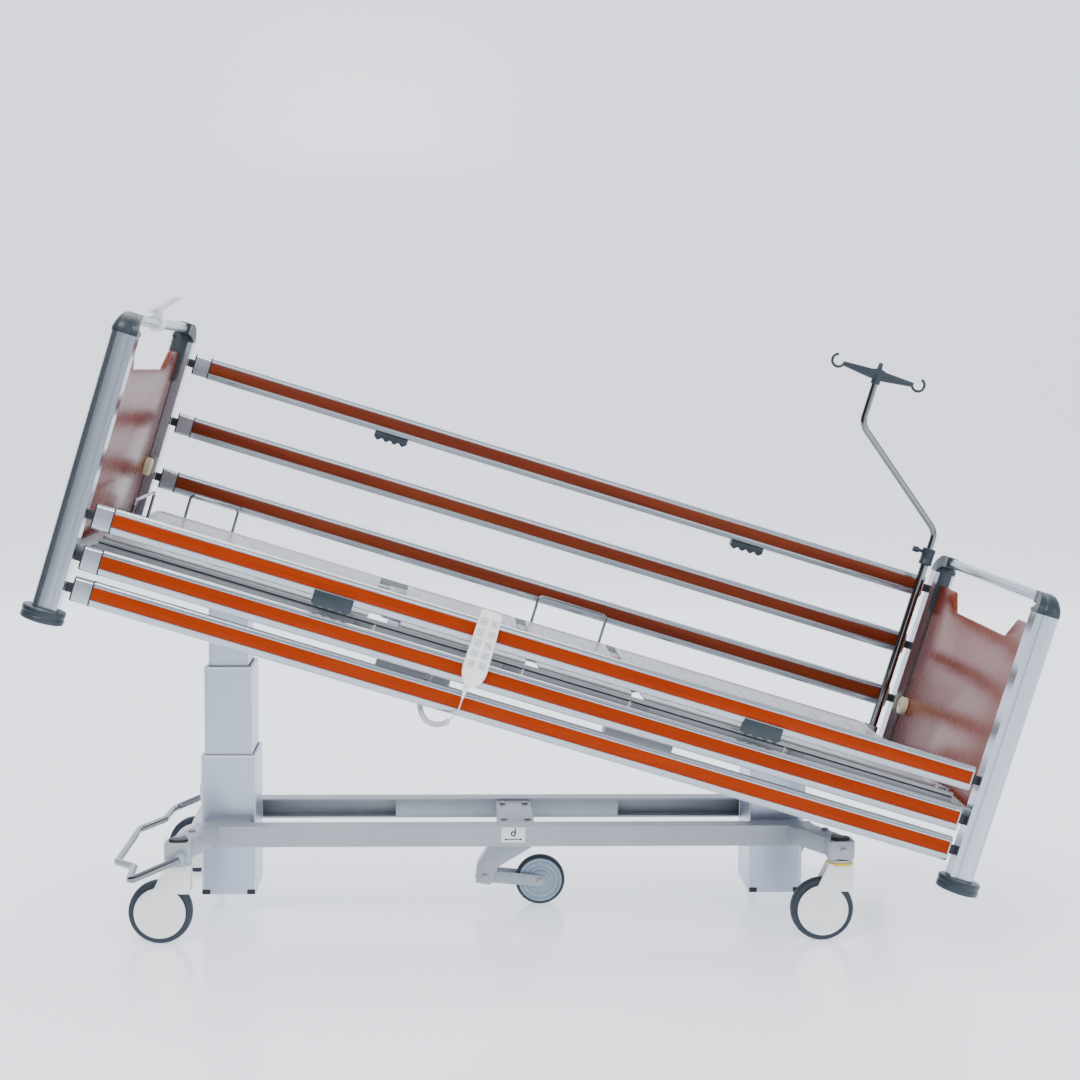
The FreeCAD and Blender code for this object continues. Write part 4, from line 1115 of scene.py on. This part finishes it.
# %% Panels
def pressed_panel(x0, x1, ribs):
    """A sheet with a rounded rim, a tray 2 mm lower and ribs across it."""
    centre, half_x = (x0 + x1) / 2, (x1 - x0) / 2
    parts = [prism(shifted(oval(half_x - 0.004, 0.416, 0.012), centre, 0), -0.0078, -0.0024, "z", 0.0008, 2),
             hollow((centre, 0), half_x, 0.42, 0.014, 0.016, -0.008, 0.0, "z", 0.0018)]
    for i in range(ribs):
        x = x0 + (x1 - x0) * (i + 0.5) / ribs
        parts.append(prism(shifted(oval(0.016, 0.35, 0.0155), x, 0), -0.003, -0.0008, "z", 0.0009, 2))
    return parts


def ears(places, pins=()):
    """Flat ears with rounded noses under the sheet, and short knee pins."""
    made = []
    for edge, axis, aside in places:
        for y in (-0.25, 0.25):
            past = axis + 0.009 * (1 if axis > edge else -1)
            low_x, high_x = sorted((edge - 0.004 * (1 if axis > edge else -1), past))
            made.append(block((low_x, y + aside - 0.0098, -0.0148), (high_x, y + aside + 0.0098, -0.0004), 0.003,
                              3))
    for x in pins:
        for y in (-0.25, 0.25):
            made.append(lathe([(0.001, -0.048), (0.0045, -0.048), (0.005, -0.0475), (0.005, 0.0475),
                               (0.0045, 0.048), (0.001, 0.048)],
                              (x, y, -0.007)))
    return made


for name, x0, x1, ribs, body, ear_places, pins in (
        ("leg", -1.018, -0.393, 6, "leg", [(-0.393, -0.355, 0)], ()),
        ("thigh", -0.317, -0.016, 3, "thigh",
         [(-0.016, -0.004, 0), (-0.317, -0.355, -0.026), (-0.317, -0.355, 0.026)], (-0.355,)),
        ("seat", 0.014, 0.241, 2, "bed_frame",
         [(0.014, -0.004, -0.026), (0.014, -0.004, 0.026), (0.241, 0.255, -0.026),
                                                (0.241, 0.255, 0.026)], ()),
        ("backrest", 0.269, 0.985, 7, "backrest", [(0.269, 0.255, 0)], ())):
    parts = pressed_panel(x0, x1, ribs)
    if name == "seat":
        parts += [block((0.06, y - 0.02, -0.03), (0.2, y + 0.02, -0.0075), 0.002, 2) for y in (-0.3, 0.3)]
    piece(f"{name}_sheet", parts, panel_coat, body, (f"{name}_panel",))
    piece(f"{name}_ears", ears(ear_places, pins), zinc, body)
dress("platform_hinges", zinc)

# %% Retaining bows and drives
BESIDE = 0.424


def bow(foot_a, foot_b, height, low=0.0):
    """A bent wire bow between two feet."""
    return wire([(*foot_a, low), (*foot_a, height), (*foot_b, height), (*foot_b, low)], 0.004, 0.014)


piece("leg_bows",
      [bow((-1.005, -0.15), (-1.005, 0.15), 0.07), bow((-0.944, BESIDE), (-0.812, BESIDE), 0.064, -0.008)],
      chrome, "leg", ("leg_retainers",))
piece("seat_bow", [bow((0.031, BESIDE), (0.224, BESIDE), 0.074, -0.008)], chrome, "bed_frame",
      ("seat_retainer",))

drives = []
for start, y, way in ((0.235, -0.15, -1), (-0.175, 0.15, 1)):
    x = sorted((start, start - way * 0.17))
    drives.append(prism(shifted(oval(0.04, 0.044, 0.014), y, -0.104), *x, "x", 0.002, 3))
    drives.append(lathe([(0.001, 0), (0.016, 0), (0.016, 0.113), (0.0135, 0.116), (0.0095, 0.116), (0.0095, 0.12),
                         (0.001, 0.12)],
                        (start, y, -0.104), Vector((way, 0, 0))))
piece("drives", drives, grey_plastic, "bed_frame", ("drive_units",))
control = [prism(shifted(oval(0.09, 0.1, 0.012), -0.255, -0.23), -0.15, -0.062, "z", 0.003, 3),
           prism(shifted(oval(0.086, 0.096, 0.01), -0.255, -0.23), -0.063, -0.06, "z", 0.001, 2)]
piece("control_case", control, grey_plastic, "bed_frame", ("control_box",))

# %% [markdown]
# ## Drip pole, control panel and handset
# The pole's parts are turned or bent, as the real ones are. The hook head is one moulding: a tapered
# beam with an open hook at each end.

# %% Drip pole
POLE_X, POLE_Y = 1.01, 0.4
sleeves = []
for across in (NEAR, FAR):
    y = across * POLE_Y
    sleeves.append(turned_ring(0.016, 0.0113, 0.06, (POLE_X, y, -0.03), VERTICAL))
    sleeves.append(block((POLE_X + 0.0155, y - 0.01, -0.058), (1.04, y + 0.01, -0.034), 0.002, 2))
piece("pole_sockets", sleeves, zinc, "bed_frame", ("pole_sleeves",))
piece("pole_lower_tube", [hollow((POLE_X, POLE_Y), 0.011, 0.011, 0.0014, 0.0109, -0.014, 0.462)], chrome,
      "bed_frame",
      ("pole_tube",))
clamp = lathe([(0.0096, 0), (0.0165, 0), (0.018, 0.002), (0.018, 0.008), (0.017, 0.01), (0.017, 0.036),
               (0.018, 0.038),
               (0.018, 0.044), (0.016, 0.046), (0.0096, 0.046)], (POLE_X, POLE_Y, 0.462), VERTICAL, closed=True)
knob = lathe([(0.001, 0), (0.005, 0), (0.005, 0.012), (0.008, 0.014), (0.008, 0.028), (0.0065, 0.03),
              (0.001, 0.03)],
             (POLE_X - 0.015, POLE_Y, 0.496), Vector((-1, 0, 0)), 32)
piece("pole_collar", [clamp, knob], corner_plastic, "bed_frame", ("pole_clamp",))
HEAD_X, HEAD_Z = POLE_X - 0.282, 0.915
rod_route = [(POLE_X, POLE_Y, 0.23), (POLE_X, POLE_Y, 0.556), (HEAD_X, POLE_Y, 0.776),
             (HEAD_X, POLE_Y, HEAD_Z - 0.012)]
piece("pole_bent_rod", [tube(rounded_route(rod_route, 0.045, 16), 0.009, 6)], chrome, "pole_rod",
      ("pole_rod",))
beam = [(-0.1, 0.008), (-0.1, -0.004), (-0.02, -0.014), (0.02, -0.014), (0.1, -0.004), (0.1, 0.008), (0.02, 0.012),
        (0.0065, 0.0165), (-0.0065, 0.0165), (-0.02, 0.012)]
head = [prism([(HEAD_X + u, HEAD_Z + v) for u, v in beam], POLE_Y - 0.0105, POLE_Y + 0.0105, "y", 0.003, 3),
        lathe([(0.0092, 0), (0.012, 0), (0.0128, 0.002), (0.0128, 0.028), (0.0092, 0.028)],
              (HEAD_X, POLE_Y, HEAD_Z - 0.026), VERTICAL, 40, True),
        lathe([(0.001, 0), (0.007, 0), (0.0062, 0.014), (0.0052, 0.0185), (0.001, 0.02)],
              (HEAD_X, POLE_Y, HEAD_Z + 0.014), VERTICAL, 32)]
for way in (-1, 1):
    arc_points = [(HEAD_X + way * (0.114 + 0.017 * math.cos(math.radians(a))), POLE_Y,
                   HEAD_Z + 0.006 + 0.017 * math.sin(math.radians(a)))
                  for a in range(-170, 76, 7)]
    head.append(tube(arc_points, 0.0038, 6))
piece("pole_hooks", head, corner_plastic, "pole_head", ("pole_head",))

# %% Control panel on the foot board
CLIP_Y, PANEL_LEAN = -0.06, math.radians(-48)
clip_ring = turned_ring(0.021, 0.0132, 0.046, (-POST_X, CLIP_Y, BAR_Z))
neck = block((-POST_X - 0.007, CLIP_Y - 0.01, BAR_Z + 0.016), (-POST_X + 0.007, CLIP_Y + 0.01, BAR_Z + 0.044),
             0.002, 2)
tray = prism(oval(0.038, 0.06, 0.01), -0.0045, 0.0045, "z", 0.0015, 3)
tray.transform(Matrix.Translation((0.006 - POST_X, CLIP_Y, BAR_Z + 0.05)) @ Matrix.Rotation(PANEL_LEAN, 4, "Y"))
piece("nurse_panel", [clip_ring, neck, tray], white_plastic, "bed_frame",
      ("foot_control_panel",))
panel_place = Matrix.Translation((0.006 - POST_X, CLIP_Y, BAR_Z + 0.05)) @ Matrix.Rotation(PANEL_LEAN, 4, "Y")
key = prism(oval(0.0055, 0.007, 0.002), 0, 0.0012, "z", 0.0004, 2)
key_spots = [((0.012 * column - 0.018, 0.019 * row - 0.038, 0.0045),
              (0, 0, 1)) for row in range(5) for column in (0, 1, 2, 3)]
keys = repeat(key, key_spots, print_grey)
keys.transform(panel_place)
piece("nurse_panel_keys", [keys], print_grey, "bed_frame")

# %% Handset
def handset_outline(grow=0.0):
    """Narrow at the top, widest low down, and rounded into the strain relief."""
    half = [(0.0, 0.089), (0.02, 0.089), (0.0232, 0.0876), (0.0248, 0.0845), (0.029, -0.03), (0.029, -0.048),
            (0.0278, -0.058), (0.0242, -0.069), (0.0185, -0.079), (0.012, -0.086), (0.006, -0.089), (0.0, -0.089)]
    scale = [(u - grow * (u > 0), v - grow * (1 if v > 0 else -1)) for u, v in half]
    return [(HANDSET_X + u, HANDSET_Z + v) for u, v in scale] + [(HANDSET_X - u, HANDSET_Z + v)
                                                                 for u, v in reversed(scale[1:-1])]


back, front = HANDSET_Y + 0.012, HANDSET_Y - 0.012
case = [prism(handset_outline(), back - 0.01, back, "y", 0.003, 3),
        prism(handset_outline(0.0006), front, back - 0.0095, "y", 0.004, 4),
        block((HANDSET_X - 0.012, -0.4895, 0.03), (HANDSET_X + 0.012, -0.4845, 0.062), 0.0015, 2)]
piece("handset_case", case, white_plastic, "near_top_rail", ("handset",))
rows = [0.066 - 0.0245 * i for i in range(5)]
key = prism(oval(0.0088, 0.0092, 0.003), 0, 0.001, "z", 0.0004, 2)
key_spots = [((HANDSET_X + side * 0.0125, front, HANDSET_Z + z - 0.002),
              (0, -1, 0)) for z in rows for side in (-1, 1)]
piece("handset_keys", [repeat(key, key_spots, cord_plastic)], cord_plastic, "near_top_rail")
bars = []
for i, z in enumerate(rows):
    x, middle = HANDSET_X, HANDSET_Z + z - 0.002
    for side in (-1, 1):
        tip = side * (0.0035 if i % 2 else -0.0035)
        stroke = [(x + side * 0.0125 - 0.005, front - 0.0012, middle - tip),
                  (x + side * 0.0125, front - 0.0012, middle + tip * 0.3),
                  (x + side * 0.0125 + 0.005, front - 0.0012, middle + tip)]
        bars.append(tube(stroke, 0.0006, 2))
piece("handset_print", bars, print_grey, "near_top_rail")
relief = lathe([(0.0032, 0), (0.0036, 0.004), (0.003, 0.0055), (0.0042, 0.0095), (0.0036, 0.011), (0.0049, 0.015),
                (0.0043, 0.0165), (0.0058, 0.0205), (0.0052, 0.022), (0.0068, 0.028)],
               (HANDSET_X - 0.008, HANDSET_Y, bottom - 0.028), VERTICAL, 32)
piece("handset_boot", [relief], white_plastic, "near_top_rail", ("handset_relief",))
socket = block((HANDSET_X - 0.104, -0.409, bottom + 0.006), (HANDSET_X - 0.068, -0.395, bottom + 0.066), 0.002, 3)
piece("handset_socket_box", [socket], black_plastic, "bed_frame", ("handset_socket",))
